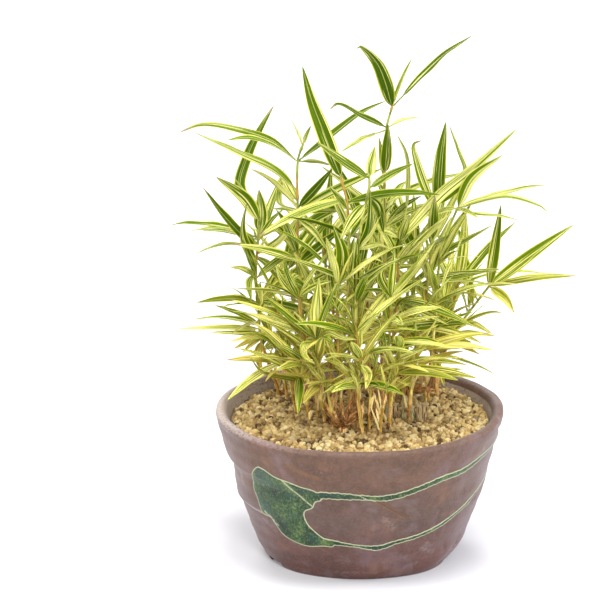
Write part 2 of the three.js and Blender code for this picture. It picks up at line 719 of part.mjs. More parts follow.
function clear(one, other, shared) {
  for (let k = 0; k < 3; k++) {
    if (one.low[k] > other.high[k] || one.high[k] < other.low[k]) return true;
  }
  const share = shared ? SHARED_SHARE : 1;
  const reach = shared ? SHARED_REACH : -1;
  for (let i = 0; i < one.balls.length; i += 5) {
    if (one.balls[i + 4] < reach) continue;
    for (let j = 0; j < other.balls.length; j += 5) {
      if (other.balls[j + 4] < reach) continue;
      const dx = one.balls[i] - other.balls[j];
      const dy = one.balls[i + 1] - other.balls[j + 1];
      const dz = one.balls[i + 2] - other.balls[j + 2];
      const apart = share * (one.balls[i + 3] + other.balls[j + 3]);
      if (dx * dx + dy * dy + dz * dz < apart * apart) return false;
    }
  }
  return true;
}

// Blades stay above the gravel and the rim, and fans inside a crown that narrows towards the top
const LOWEST_BLADE = 69.5;
const CROWN = { middle: 8, radius: 66, from: 135, narrowing: 0.45 };

function aboveGravel(cover) {
  for (let i = 0; i < cover.balls.length; i += 5) {
    if (cover.balls[i + 2] < LOWEST_BLADE) return false;
  }
  return true;
}

function insideCrown(blade) {
  const tip = blade.line.at(1);
  const radius = CROWN.radius - CROWN.narrowing * Math.max(tip.z - CROWN.from, 0);
  return Math.hypot(tip.x, tip.y - CROWN.middle) < radius;
}

// Every stem first, then the blades by hand, then the fans: each takes the first place that is clear of the rest
const GROWTH_SEED = 20417;
const DEPTH_SHIFTS = [0, 3, -3, 6, -6, 9, -9, 12, -12, 15, -15, 19, -19, 23, -23, 28, -28, 34, -34];
const FAN_TURNS = [0, 25, -25, 50, -50, 80, -80, 115, -115, 150];
const FAN_LIFTS = [0, 12, -12, 24];
const FAN_SPREAD = 45;
const LIGHT_LEAN = 0.5;

function growPlant() {
  const stems = STEMS.map(({ root: [x, y], path, blades = [], fans = [] }) => {
    const start = new THREE.Vector3(x, y, STRAIGHT_TO);
    const line = smoothLine([start, ...path.map((point) => fromView(...point))]);
    return { root: [x, y], line, hand: blades, fans, blades: [] };
  });
  const placed = stems.map((stem) => ({ stem, cover: coverStem(stem), isStem: true }));
  const fits = (stem, blade, cover) =>
    aboveGravel(cover) &&
    placed.every((other) => {
      const shared = other.stem === stem;
      return (shared && other.isStem) || clear(cover, other.cover, shared);
    });
  const place = (stem, blade) => {
    const cover = coverBlade(blade);
    if (!fits(stem, blade, cover)) return false;
    placed.push({ stem, cover });
    stem.blades.push(blade);
    return true;
  };
  for (const stem of stems) {
    for (const given of stem.hand) DEPTH_SHIFTS.some((shift) => place(stem, handBlade(stem, given, shift)));
  }
  stems.forEach((stem, number) => {
    const draw = dice(GROWTH_SEED + 1000003 * number);
    stem.fans.forEach(([up, count, heading], fan) => {
      const top = fan === 0;
      const around = draw(0, 2 * Math.PI);
      const oneSided = heading !== undefined;
      const step = degrees(oneSided ? FAN_SPREAD : 137.5);
      const start = oneSided ? degrees(heading) - (step * (count - 1)) / 2 : around;
      for (let i = 0; i < count; i++) {
        const shape = {
          turn: start + i * step + draw(-0.3, 0.3),
          pitch: degrees(top ? draw(20, 68) : draw(-5, 48)),
          length: draw(25, 46),
          droop: draw(0.04, 0.26),
          roll: draw(-0.6, 0.6),
          lean: LIGHT_LEAN,
        };
        shape.width = clamp(0.1 * shape.length + draw(0.5, 2), 3.4, 6);
        const root = onStem(stem, up - i * 1.5);
        FAN_LIFTS.some((lift) =>
          FAN_TURNS.some((turn) => {
            const blade = fanBlade(root, shape, degrees(turn), degrees(lift));
            return insideCrown(blade) && place(stem, blade);
          }),
        );
      }
    });
  });
  return stems;
}

// Blade: a thin closed form, three corners at each station and a point at each end, its edges above its keel
function bladeSolid(blade) {
  const { stalk, width, line } = blade;
  const onBlade = line.length > SHORT_BLADE ? [0.13, 0.42, 0.76] : [0.18, 0.6];
  const stations = onBlade.map((t) => ({ t: stalk + (1 - stalk) * t, width: width * bladeWidth(t) }));
  if (stalk * line.length > 5) stations.unshift({ t: stalk, width: 1 });
  const root = line.at(0);
  const tip = line.at(1);
  const points = [root.x, root.y, root.z];
  const triangles = [];
  stations.forEach((station, row) => {
    const { middle, side, normal } = bladeFrame(blade, station.t);
    const half = station.width / 2;
    const fold = BLADE_FOLD * station.width;
    const corners = [
      [-half, BLADE_THICK / 2],
      [half, BLADE_THICK / 2],
      [0, -BLADE_THICK / 2 - fold],
    ];
    for (const [across, above] of corners) {
      const corner = middle.clone().addScaledVector(side, across).addScaledVector(normal, above);
      points.push(corner.x, corner.y, corner.z);
    }
    for (let i = 0; i < 3; i++) {
      const here = 1 + 3 * row + i;
      const next = 1 + 3 * row + ((i + 1) % 3);
      if (row === 0) triangles.push(0, next, here);
      else triangles.push(here - 3, next, here, here - 3, next - 3, next);
    }
  });
  const last = 1 + 3 * stations.length;
  points.push(tip.x, tip.y, tip.z);
  for (let i = 0; i < 3; i++) triangles.push(last, last - 3 + i, last - 3 + ((i + 1) % 3));
  return solidOf(geometryOf(points, triangles));
}

// Stem: straight in its hole, then along its line, thinner towards the tip
function stemSolid(stem) {
  const [x, y] = stem.root;
  const count = Math.max(Math.round(stem.line.length / STEM_STEP), 2);
  const middles = [new THREE.Vector3(x, y, GRAVEL_EDGE + 2 - ROOT_DEPTH)];
  for (let i = 0; i <= count; i++) middles.push(stem.line.at(i / count));
  const points = [];
  const triangles = [];
  middles.forEach((middle, row) => {
    const share = Math.max(row - 1, 0) / count;
    const radius = (STEM_THICK[0] + (STEM_THICK[1] - STEM_THICK[0]) * share) / 2;
    for (let i = 0; i < STEM_SIDES; i++) {
      const angle = (2 * Math.PI * i) / STEM_SIDES;
      points.push(middle.x + radius * Math.cos(angle), middle.y + radius * Math.sin(angle), middle.z);
      const here = row * STEM_SIDES + i;
      const next = row * STEM_SIDES + ((i + 1) % STEM_SIDES);
      if (row) triangles.push(here - STEM_SIDES, next, here, here - STEM_SIDES, next - STEM_SIDES, next);
    }
  });
  const top = (middles.length - 1) * STEM_SIDES;
  for (let i = 1; i < STEM_SIDES - 1; i++) triangles.push(0, i + 1, i, top, top + i, top + i + 1);
  return solidOf(geometryOf(points, triangles));
}

function stemHole([x, y]) {
  const low = GRAVEL_EDGE + 2 - ROOT_DEPTH - GAP;
  return post(x, y, low, POT_HEIGHT + 3, STEM_THICK[0] / 2 + HOLE_SPARE, STEM_SIDES);
}

// Dry sheaths: pointed scraps round a small core that stands in a hole of its own
function makeSheaths({ middle: [x, y], count, reach, pitch, seed }) {
  const draw = dice(seed);
  const { radius, low, high } = CLUMP_CORE;
  let clump = post(x, y, low, high, radius, 7, 0.7 * radius);
  for (let i = 0; i < count; i++) {
    const shape = {
      turn: i * degrees(137.5),
      pitch: degrees(draw(...pitch)),
      length: draw(...reach),
      droop: draw(0, 0.3),
      roll: draw(-0.5, 0.5),
      width: draw(1.6, 2.6),
      lean: 0,
    };
    const root = new THREE.Vector3(x, y, high - 1.6);
    clump = clump.add(bladeSolid(fanBlade(root, shape, 0, 0)));
  }
  return clump;
}

function sheathHole({ middle: [x, y] }) {
  return post(x, y, CLUMP_CORE.low - GAP, POT_HEIGHT, CLUMP_CORE.radius + HOLE_SPARE, 7);
}

// Cut stems: a row of short posts that touch each other, with uneven tops
function makeStubs(grow, low, high) {
  const draw = dice(33);
  const posts = [];
  for (let i = 0; i < STUBS.count; i++) {
    const x = STUBS.start + i * STUBS.pitch;
    const y = STUBS.depth + (i % 2 ? STUBS.stagger : -STUBS.stagger);
    const top = draw(...STUB_POST.high);
    posts.push(post(x, y, low, high ?? top, STUB_POST.radius + grow, STUB_POST.sides));
  }
  return wasm.Manifold.union(posts);
}

const stems = growPlant();
const holes = stems.map((stem) => stemHole(stem.root));
const group = new THREE.Group();

group.add(meshOf(makePot(), "pot", materials.clay));
DRAIN_ANGLES.forEach((angle, i) => group.add(meshOf(makeNet(angle), `drain_net_${i + 1}`, materials.net)));
for (const [name, clump] of Object.entries(SHEATH_CLUMPS)) {
  group.add(meshOf(makeSheaths(clump), name, materials.sheath));
  holes.push(sheathHole(clump));
}
group.add(meshOf(makeStubs(0, STUB_POST.low), "cut_stubs", materials.stub));
holes.push(makeStubs(GAP, STUB_POST.low - GAP, POT_HEIGHT));
group.add(meshOf(makeGravel(holes), "gravel", materials.gravel));

stems.forEach((stem, i) => {
  const pieces = [stemSolid(stem), ...stem.blades.map(bladeSolid)];
  const name = `leafy_stem_${String(i + 1).padStart(2, "0")}`;
  group.add(meshOf(wasm.Manifold.union(pieces), name, materials.stem));
});

export default group;
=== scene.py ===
# Potted variegated dwarf bamboo: stoneware bowl, gravel, leafy stems, dry sheaths and cut stubs.
# Shapes are worked out in millimetres in the CAD's frame, and become meshes in metres.
import math

import bpy
import numpy as np
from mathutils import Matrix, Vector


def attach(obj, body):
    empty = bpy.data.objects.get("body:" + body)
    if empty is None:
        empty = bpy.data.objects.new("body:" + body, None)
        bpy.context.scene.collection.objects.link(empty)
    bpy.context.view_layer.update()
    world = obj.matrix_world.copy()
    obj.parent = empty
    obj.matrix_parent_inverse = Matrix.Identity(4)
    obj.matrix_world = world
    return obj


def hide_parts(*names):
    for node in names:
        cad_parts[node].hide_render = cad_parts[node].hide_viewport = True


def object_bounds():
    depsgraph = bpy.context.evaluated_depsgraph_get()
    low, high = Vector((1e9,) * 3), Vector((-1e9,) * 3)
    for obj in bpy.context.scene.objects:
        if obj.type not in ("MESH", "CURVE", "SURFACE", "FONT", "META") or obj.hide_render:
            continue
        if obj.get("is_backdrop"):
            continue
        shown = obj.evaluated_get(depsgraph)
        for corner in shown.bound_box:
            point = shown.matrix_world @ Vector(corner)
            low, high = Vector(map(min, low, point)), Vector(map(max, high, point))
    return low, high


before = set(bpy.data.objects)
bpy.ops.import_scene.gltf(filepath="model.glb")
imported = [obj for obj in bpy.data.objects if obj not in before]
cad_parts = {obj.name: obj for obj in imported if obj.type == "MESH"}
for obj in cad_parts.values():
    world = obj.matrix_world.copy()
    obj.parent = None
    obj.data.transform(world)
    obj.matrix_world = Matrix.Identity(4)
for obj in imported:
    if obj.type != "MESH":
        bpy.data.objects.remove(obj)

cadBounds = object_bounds()
millimetre = 0.001
viewPitch = math.radians(18.5)  # the photograph looks down at this angle
viewSlope = math.tan(viewPitch)
sight = np.array([0.0, math.cos(viewPitch), -math.sin(viewPitch)])
print("frame loaded:", len(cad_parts), "nodes")


def dice(seed):  # the same draws in the same order on every run, as the CAD makes them
    state = seed

    def draw(low, high):
        nonlocal state
        state = (state * 1664525 + 1013904223) & 0xFFFFFFFF
        return low + ((high - low) * state) / 4294967296

    return draw


def smooth(low, high, value):  # 0 below low, 1 above high, and a soft step between
    share = np.clip((value - low) / (high - low), 0, 1)
    return share * share * (3 - 2 * share)


def unit(vectors):
    return vectors / np.linalg.norm(vectors, axis=-1, keepdims=True)


def evenAngles(count):
    return 2 * math.pi * np.arange(count) / count


# Lines: a cubic between each two points, with the slope of its neighbours' chord

def smoothLine(points):
    points = np.asarray(points, float)
    knots = np.concatenate([[0.0], np.cumsum(np.linalg.norm(np.diff(points, axis=0), axis=1))])
    number = np.arange(len(points))
    before = np.maximum(number - 1, 0)
    after = np.minimum(number + 1, len(points) - 1)
    slopes = (points[after] - points[before]) / (knots[after] - knots[before])[:, None]
    return {"points": points, "knots": knots, "slopes": slopes, "length": knots[-1]}


def lineAt(line, t):
    # point(u) = p0·(2u³ − 3u² + 1) + s0·(u³ − 2u² + u) + p1·(3u² − 2u³) + s1·(u³ − u²)
    along = np.clip(np.atleast_1d(t), 0, 1) * line["length"]
    i = np.searchsorted(line["knots"][1:-1], along, side="left")
    step = (line["knots"][i + 1] - line["knots"][i])[:, None]
    u = (along - line["knots"][i])[:, None] / step
    points, slopes = line["points"], line["slopes"]
    return (points[i] * (2 * u**3 - 3 * u**2 + 1) + slopes[i] * (u**3 - 2 * u**2 + u) * step
            + points[i + 1] * (3 * u**2 - 2 * u**3) + slopes[i + 1] * (u**3 - u**2) * step)


def lineHeading(line, t):  # over a hundredth of its length to each side
    t = np.atleast_1d(t)
    return unit(lineAt(line, t + 0.01) - lineAt(line, t - 0.01))


# Stems and blades: where they grow. Each stem has its root as [x, y], its path as [across, depth, up] seen
# from the front, its blades one by one as [up, stalk, shown width, depth of the tip, then across and up of
# the midrib's points], and its fans of blades by rule as [up, number], with the middle's heading if
# one-sided.

leafyStems = [
    {
        "root": [9, 14],
        "path": [[10.5, 15, 100], [11.5, 16, 147], [11, 17, 178], [12, 18, 200], [15, 18, 212]],
        "blades": [
            [212, 0, 6.5, 8, 11, 222, 7, 231, 0, 238, -2, 236.5],
            [212, 8, 2.8, 32, 37, 234, 51, 244],
            [212, 3, 1.8, 14, 19, 223, 23.5, 233],
            [200, 2, 2.8, 6, 0, 206, -10, 211, -14, 208],
            [200, 4, 1.3, 34, 20, 204, 28, 205],
            [199, 6, 2, 2, -9, 188],
            [178, 1, 5.2, 12, 12, 190, 12.5, 202],
            [176, 1, 3, 26, 8.5, 196],
            [164, 3, 2.2, 34, 30, 174, 48, 179],
            [154, 2, 3, 28, 20, 163, 28, 168],
            [153, 2, 3, 14, 20, 159, 27, 162],
        ],
        "fans": [[140, 4], [120, 4], [160, 3]],
    },
    {
        "root": [-24, 10],
        "path": [[-25, 11, 100], [-28, 12, 140], [-28, 12, 161], [-28, 12, 184], [-25, 13, 194]],
        "blades": [
            [184, 4, 2.6, 0, -40, 194, -60, 200, -72, 201, -82, 197],
            [184, 3, 2.8, 30, -20, 190.5, -10, 199, 0, 207, 12, 213],
            [192, 1, 2, 10, -22, 201],
            [192, 1, 1.3, 22, -31, 204],
            [184, 3, 1.8, 20, -12, 182],
            [184, 5, 1.4, -6, -40, 192, -50, 195, -60, 193.5],
            [170, 3, 3.8, 22, -38, 180, -50, 186, -75, 198],
            [163, 3, 3, 14, -40, 175, -50, 181],
            [162, 2, 4.2, 2, -20, 171, -12, 181],
            [161, 2, 3.8, -4, -10, 171, 10, 180.5],
            [160, 2, 3.2, 22, -7, 160],
            [160, 2, 1.5, 5, -40, 161.5],
            [165, 1, 4.4, 26, -32, 172, -36, 179],
            [161, 1, 3.2, 36, -36, 164, -36, 172, -33, 178],
            [157, 1, 3, 4, -21, 151, -14, 141],
        ],
        "fans": [[140, 4], [122, 4], [152, 2, 0]],
    },
    {
        "root": [-5, -9],
        "path": [[-5, -8, 100], [-5, -6, 130], [-5.5, -5, 161], [-9, -5, 178]],
        "blades": [
            [178, 1, 7, 4, -17, 199, -22, 213, -26, 229],
            [161, 2, 3, -14, -14, 172],
        ],
        "fans": [[150, 3], [130, 4], [104, 4], [86, 3], [166, 2, 180]],
    },
    {
        "root": [-1, -19],
        "path": [[-2, -18, 100], [-1, -17, 142], [1, -15, 157], [4, -14, 172], [4, -14, 178]],
        "blades": [
            [176, 2, 4.2, -24, -8, 184, -20, 193],
            [177, 1, 4.6, -4, 6.5, 191],
            [164, 1, 5.2, -24, -9, 147],
            [171, 1, 3.8, 2, 13, 177.5, 24, 183],
            [168, 1, 4.6, -6, 8, 162, 10.5, 150],
            [142, 2, 3.5, -20, 4, 152, 4.5, 171],
            [142, 2, 4.2, -8, 6, 155, 7.5, 171],
            [142, 1, 1.8, -26, 4, 148, 9, 158],
            [142, 1, 2.2, -2, 8, 144.5, 14, 142],
        ],
        "fans": [[122, 4], [100, 4], [82, 4]],
    },
    {
        "root": [13, 3],
        "path": [[15, 3, 100], [17, 2, 120], [17, 1, 140], [19, 0, 150]],
        "blades": [
            [150, 1, 5.2, 14, 36, 168, 50, 180, 71, 200],
            [150, 14, 1.2, 4, 22, 172, 21, 187, 16.5, 197],
            [138, 1, 4, -8, 18, 150],
            [148, 1, 3, -10, 8, 152],
        ],
        "fans": [[138, 4], [120, 4], [104, 3], [90, 3], [146, 2, 150]],
    },
    {
        "root": [22, 12],
        "path": [[27, 12, 100], [31, 12, 130], [33, 12, 150], [35, 12, 166]],
        "blades": [
            [166, 1, 6.2, 10, 36, 185, 38.5, 203],
            [160, 4, 4.2, 2, 29, 172, 25, 185, 24, 192, 28, 194],
            [164, 1, 4, -2, 48, 175, 59, 184],
            [166, 9, 2, 34, 47, 178, 44, 190, 40, 202],
        ],
        "fans": [[150, 4], [130, 4], [110, 4], [95, 3]],
    },
    {
        "root": [29, -2],
        "path": [[33, -1, 100], [36, 0, 140], [38, 0, 147], [43, 1, 160], [45, 1, 164]],
        "blades": [
            [164, 1, 5, -4, 50, 176, 64, 187],
            [164, 1, 2.8, 16, 65, 169, 80, 172.5, 86, 172],
            [164, 4, 1.4, -8, 65, 167, 80, 163, 85, 159],
            [162, 1, 2.2, 12, 38, 161, 30, 158],
            [162, 1, 2.2, -12, 53, 157],
            [161, 3, 1.2, -16, 52, 159, 62, 158, 71, 156],
            [140, 1, 2.8, 8, 50, 148, 60, 154],
            [84, 5, 4.2, -18, 24, 82, 18, 78, 12, 74],
        ],
        "fans": [[140, 3], [120, 4], [104, 3]],
    },
    {
        "root": [28, 38],
        "path": [[36, 37, 95], [41, 36, 112], [45, 34, 128]],
        "blades": [
            [128, 1, 5.2, 30, 47, 145, 47.5, 163],
            [128, 1, 4, 42, 60, 145, 71, 156],
            [127, 2, 1.4, 48, 60, 131, 66, 132],
            [128, 1, 2.2, 26, 40, 140, 33, 153],
            [124, 2, 1.4, 20, 60, 126, 71, 126],
        ],
        "fans": [[114, 4], [98, 4], [122, 2, -20]],
    },
    {
        "root": [34, 41],
        "path": [[39, 41, 95], [48, 42, 110], [58, 40, 124], [60, 40, 127]],
        "blades": [
            [127, 1, 5.5, 28, 80, 142, 97, 154.5],
            [127, 2, 3.2, 48, 80, 129, 99, 130],
            [126, 2, 1.4, 36, 70, 131.5, 85, 131],
            [127, 1, 5.2, 44, 61.5, 147, 63.5, 164],
            [125, 1, 4.5, 30, 66, 119, 70, 112],
        ],
        "fans": [[118, 3], [107, 4]],
    },
    {
        "root": [35, 31],
        "path": [[36, 31, 90], [39, 31, 98], [41, 30, 104]],
        "blades": [
            [103, 1, 2.2, 24, 52, 110, 60, 112.5, 65, 112],
            [103, 2, 1.2, 14, 50, 107, 60, 102],
            [102, 1, 2.8, 20, 50, 102.5, 62, 101],
            [100, 1, 2.2, 32, 51, 98],
            [98, 1, 2.8, 10, 52, 95],
            [103, 1, 5.2, 26, 35, 120, 33, 133],
        ],
        "fans": [[98, 4, 150]],
    },
    {
        "root": [-37, 30],
        "path": [
            [-42, 30, 90],
            [-45, 29, 102],
            [-46, 28, 118],
            [-47, 28, 130],
            [-46, 28, 146],
            [-45, 27, 158],
        ],
        "blades": [
            [142, 1, 4.2, 14, -60, 157, -71, 172],
            [146, 1, 4.2, 36, -42, 158, -34, 181],
            [146, 1, 2.6, 20, -40, 156, -34, 162],
            [140, 1, 3.2, 22, -36, 147, -27, 159],
            [134, 1, 4.2, 14, -53, 150, -51, 165],
            [158, 2, 6, 24, -52, 167, -65, 177],
            [158, 1, 1.8, 36, -57, 177],
            [158, 4, 5, 42, -54, 172, -51, 186, -46, 198, -38.5, 212],
            [148, 6, 1.6, 38, -60, 153, -78, 155, -86, 154],
            [148, 4, 1.4, 22, -64, 153, -78, 151],
            [147, 4, 1.6, 56, -60, 151, -74, 152],
            [143, 3, 1.8, 4, -53, 144.5, -60, 145, -68, 143, -74, 140],
            [130, 1, 2.8, 18, -53, 133.5, -59, 134],
            [116, 1, 3.2, 18, -45, 127],
            [117, 1, 3.2, 18, -55, 119, -65, 118.5, -74, 117],
            [107, 1, 2.4, 36, -55, 112, -66, 116],
            [106, 1, 2.4, 44, -55, 109, -65, 110, -77, 109],
            [104.5, 1, 2.8, 28, -60, 105, -83, 104.5],
            [103, 1, 2.4, 16, -55, 102.5, -68, 103],
            [102, 1, 2.4, 36, -50, 99, -57, 95],
            [100, 1, 2.4, 14, -53, 93],
            [115, 1, 3.2, 14, -38, 112, -34, 103],
            [150, 1, 6.4, 40, -44.5, 160, -45.5, 171],
            [148, 1, 4.2, 38, -38, 153, -33, 148, -25, 136],
            [113, 1, 4.2, 22, -42, 107, -40, 98],
            [99, 1, 4, 14, -46, 91, -44, 84],
            [127, 1, 2.6, 12, -45.5, 124, -44, 116],
            [131, 1, 3.4, 6, -50, 127, -49, 118],
        ],
        "fans": [[130, 3], [118, 3], [96, 3], [110, 2, 170]],
    },
    {
        "root": [-16, -12],
        "path": [[-18, -13, 75], [-19, -14, 88], [-20, -15, 102]],
        "blades": [
            [102, 1, 6, -20, -19.5, 116, -18.5, 129],
            [102, 1, 2.8, -30, -10, 127],
            [101, 1, 2.8, -20, -32, 110, -43, 120],
            [101, 1, 2.4, -36, -26, 108, -30, 113],
            [101, 1, 3.2, -30, -14, 103, -8, 100.5, -1, 99.5],
            [100, 1, 2.8, -40, -15, 100, -12, 97],
            [98, 1, 3.2, -32, -25, 97, -25, 92, -20, 88],
        ],
        "fans": [[92, 3], [80, 2, -90]],
    },
    {
        "root": [-19, -3],
        "path": [[-20, -4, 76], [-22, -6, 88], [-26, -6, 105], [-28, -4, 122]],
        "blades": [
            [87, 1, 2.8, -16, -31, 94, -39, 98],
            [87, 1, 2.4, -4, -30, 89.5, -39, 90.5],
            [86, 1, 2.4, -22, -30, 88, -38, 85],
            [78, 2, 2.8, -22, -30, 80.5, -44, 84, -50, 92],
            [105, 1, 2.4, -16, -36, 114.5, -43.5, 120.5],
            [121, 1, 3.4, -2, -35, 128, -38, 135],
            [122, 1, 3.4, -14, -32.5, 130, -34, 138],
        ],
        "fans": [[122, 3], [106, 4], [90, 3]],
    },
    {
        "root": [1, -27],
        "path": [[-1, -27, 75], [0, -28, 90], [-2, -28, 106]],
        "blades": [
            [88, 1, 4.2, -38, 3.5, 83, 2.5, 76],
            [82, 1, 2.8, -38, -10, 78, -17, 74],
            [90, 1, 2.2, -36, -8, 92, -18, 89.5],
        ],
        "fans": [[106, 5], [92, 3], [80, 3]],
    },
    {
        "root": [5, -14],
        "path": [[8, -15, 70], [11, -16, 82], [13, -16, 98], [14, -15, 122]],
        "blades": [
            [84, 2, 2.8, -8, 30, 85.5, 47, 85.5],
            [96, 1, 4.2, -24, 20, 98, 30, 99, 39, 96],
            [88, 1, 3.2, -30, 20, 92, 30, 96],
            [82, 1, 1.8, -32, 23, 77],
            [122, 1, 3.4, -6, 25, 133, 35, 148],
            [121, 1, 3.6, -24, 9, 130, 14, 138],
        ],
        "fans": [[122, 3], [110, 4], [98, 3], [84, 3]],
    },
    {
        "root": [-8, -15],
        "path": [[-9, -15, 80], [-10, -15, 100], [-10, -15, 128]],
        "blades": [
            [128, 1, 6.5, -18, -8, 140, -12, 153],
            [128, 3, 2, -12, 5, 137, 15, 143],
        ],
        "fans": [[126, 3], [112, 4], [96, 4], [84, 3]],
    },
    {
        "root": [-26, 20],
        "path": [[-25, 17, 90], [-22, 12, 108], [-20, 8, 124]],
        "blades": [[124, 1, 4.2, 0, -25, 133, -30, 141]],
        "fans": [[122, 4], [108, 4], [92, 4]],
    },
    {"root": [4, -22], "path": [[5, -24, 75], [7, -26, 88], [9, -28, 98]], "fans": [[98, 5], [86, 4]]},
    {
        "root": [-12, 30],
        "path": [[-14, 32, 100], [-15, 34, 125], [-16, 35, 147]],
        "fans": [[147, 6], [126, 4], [108, 4]],
    },
    {
        "root": [4, 34],
        "path": [[4, 36, 100], [3, 38, 130], [2, 40, 154]],
        "fans": [[154, 6], [132, 4], [112, 4]],
    },
    {
        "root": [18, 38],
        "path": [[20, 40, 100], [22, 43, 125], [24, 45, 150]],
        "fans": [[150, 6], [128, 4], [110, 4]],
    },
    {
        "root": [-24, 36],
        "path": [[-27, 39, 100], [-31, 42, 122], [-34, 44, 138]],
        "fans": [[138, 6], [120, 4], [106, 4]],
    },
    {
        "root": [20, 21],
        "path": [[22, 21, 100], [24, 21, 125], [26, 22, 142]],
        "fans": [[142, 5], [124, 4], [106, 4]],
    },
    {
        "root": [-2, 10],
        "path": [[-1, 11, 95], [-1, 12, 118], [0, 12, 137]],
        "fans": [[137, 5], [118, 4], [102, 4]],
    },
    {
        "root": [-33, 22],
        "path": [[-35, 20, 90], [-36, 18, 105], [-37, 16, 118]],
        "blades": [[95, 1, 4, 4, -31, 99, -24, 103]],
        "fans": [[118, 5], [104, 4, 180], [92, 3]],
    },
    {
        "root": [22, -9],
        "path": [[24, -11, 85], [25, -13, 100], [24, -15, 112]],
        "fans": [[112, 5], [98, 4], [86, 2]],
    },
    {
        "root": [-14, 7],
        "path": [[-13, 7, 95], [-12, 6, 115], [-14, 5, 136]],
        "fans": [[136, 5], [116, 4], [100, 3]],
    },
    {
        "root": [11, 47],
        "path": [[10, 51, 100], [9, 55, 120], [8, 58, 138]],
        "fans": [[138, 6], [120, 4], [104, 3]],
    },
    {
        "root": [-8, 45],
        "path": [[-9, 49, 100], [-10, 53, 118], [-12, 56, 132]],
        "fans": [[132, 6], [116, 4], [102, 3]],
    },
    {
        "root": [31, 22],
        "path": [[33, 21, 92], [36, 19, 106], [38, 17, 118]],
        "fans": [[118, 5], [105, 4], [94, 3, 190]],
    },
    {
        "root": [13, -19],
        "path": [[15, -22, 78], [17, -26, 90], [18, -28, 98]],
        "fans": [[98, 4], [88, 4]],
    },
    {"root": [-23, -8], "path": [[-26, -9, 78], [-30, -8, 92]], "fans": [[92, 3, 200], [82, 2, -60]]},
    {"root": [-12, -7], "path": [[-13, -7, 80], [-13, -6, 104]], "fans": [[104, 4], [90, 2]]},
    {"root": [-12, -18], "path": [[-14, -20, 72], [-17, -23, 84]], "fans": [[84, 2, 200]]},
    {"root": [-29, 3], "path": [[-32, 3, 82], [-36, 2, 98]], "fans": [[98, 3, 180]]},
    {"root": [-3, -3], "path": [[-2, -3, 90], [-3, -3, 118]], "fans": [[118, 3]]},
    {"root": [9, -25], "path": [[10, -28, 66], [12, -31, 74]]},
]


growth = {
    "seed": 20417,
    "seedStep": 1000003,
    "straightTo": 66,
    "tipSpare": 2.5,
    "halvings": 24,
    "coverStep": 2.2,
    "stemReach": 1.85,
    "bladeSpare": 0.4,
    "lowestBlade": 69.5,
    "crownMiddle": 8,
    "crownRadius": 66,
    "crownFrom": 135,
    "crownNarrowing": 0.45,
    "sharedReach": 8,
    "sharedShare": 0.5,
    "depthShifts": [0, 3, -3, 6, -6, 9, -9, 12, -12, 15, -15, 19, -19, 23, -23, 28, -28, 34, -34],
}
handRule = {
    "arch": 0.05,  # rise of the middle, where only the tip is given
    "widthFrom": 1,
    "widthShare": 0.1,
    "widest": 5.2,
    "mostRoll": math.radians(72),
    "leastStalk": 1.5,
}
fanRule = {
    "turns": [0, 25, -25, 50, -50, 80, -80, 115, -115, 150],
    "lifts": [0, 12, -12, 24],
    "step": 137.5,
    "oneSidedStep": 45,
    "turnStray": [-0.3, 0.3],
    "apart": 1.5,
    "lean": 0.5,  # of the upper sides towards the light
    "topPitch": [20, 68],
    "pitch": [-5, 48],
    "length": [25, 46],
    "droop": [0.04, 0.26],
    "roll": [-0.6, 0.6],
    "widthShare": 0.1,
    "widthMore": [0.5, 2],
    "width": [3.4, 6],
    "stalk": 2,
    "points": [0, 0.35, 0.7, 1],
}


def fromView(across, depth, up):
    return np.array([across, depth, up - depth * viewSlope])


def bladeWidth(t):  # sin(π·t^0.6)^0.75: rounded at the stalk, widest at a third, drawn out to a tip
    return np.maximum(np.sin(math.pi * np.clip(t, 0, 1) ** 0.6), 0) ** 0.75


def onStem(stem, up):  # halving, until the stem's line is at that height as it appears from the front
    low = 0.0
    high = 1 - growth["tipSpare"] / stem["line"]["length"]
    for i in range(growth["halvings"]):
        middle = (low + high) / 2
        point = lineAt(stem["line"], middle)[0]
        if point[2] + point[1] * viewSlope < up:
            low = middle
        else:
            high = middle
    return lineAt(stem["line"], (low + high) / 2)[0]


def handBlade(stem, given, shift):
    # midrib = a smooth line through the given places, its depth going evenly from the stem's to the tip's,
    # about which the blade is rolled by acos(shown width ÷ width)
    up, stalk, shown, tipDepth = given[:4]
    root = onStem(stem, up)
    flat = [np.array([root[0], root[2] + root[1] * viewSlope])]
    flat += [np.array(pair, float) for pair in zip(given[4::2], given[5::2])]
    if len(flat) == 2:
        raised = handRule["arch"] * np.linalg.norm(flat[1] - flat[0])
        flat.insert(1, (flat[0] + flat[1]) / 2 + np.array([0, raised]))
    along = np.concatenate([[0.0], np.cumsum(np.linalg.norm(np.diff(np.array(flat), axis=0), axis=1))])
    depths = root[1] + ((tipDepth + shift - root[1]) * along) / along[-1]
    points = [root] + [fromView(p[0], depth, p[1]) for p, depth in zip(flat[1:], depths[1:])]
    line = smoothLine(points)
    likely = handRule["widthShare"] * line["length"] + handRule["widthFrom"]
    width = max(shown, min(handRule["widest"], likely))
    heading = lineHeading(line, 0.5)[0]
    side = unit(np.cross(heading, sight))
    face = np.cross(side, heading)
    if face @ sight > 0:
        face = -face
    roll = min(math.acos(min(shown / width, 1)), handRule["mostRoll"])
    lean = roll if side[2] > 0 else -roll
    normal = face * math.cos(lean) + side * math.sin(lean)
    stalk = max(stalk, handRule["leastStalk"]) / line["length"]
    return {"line": line, "width": width, "normal": normal, "stalk": stalk}


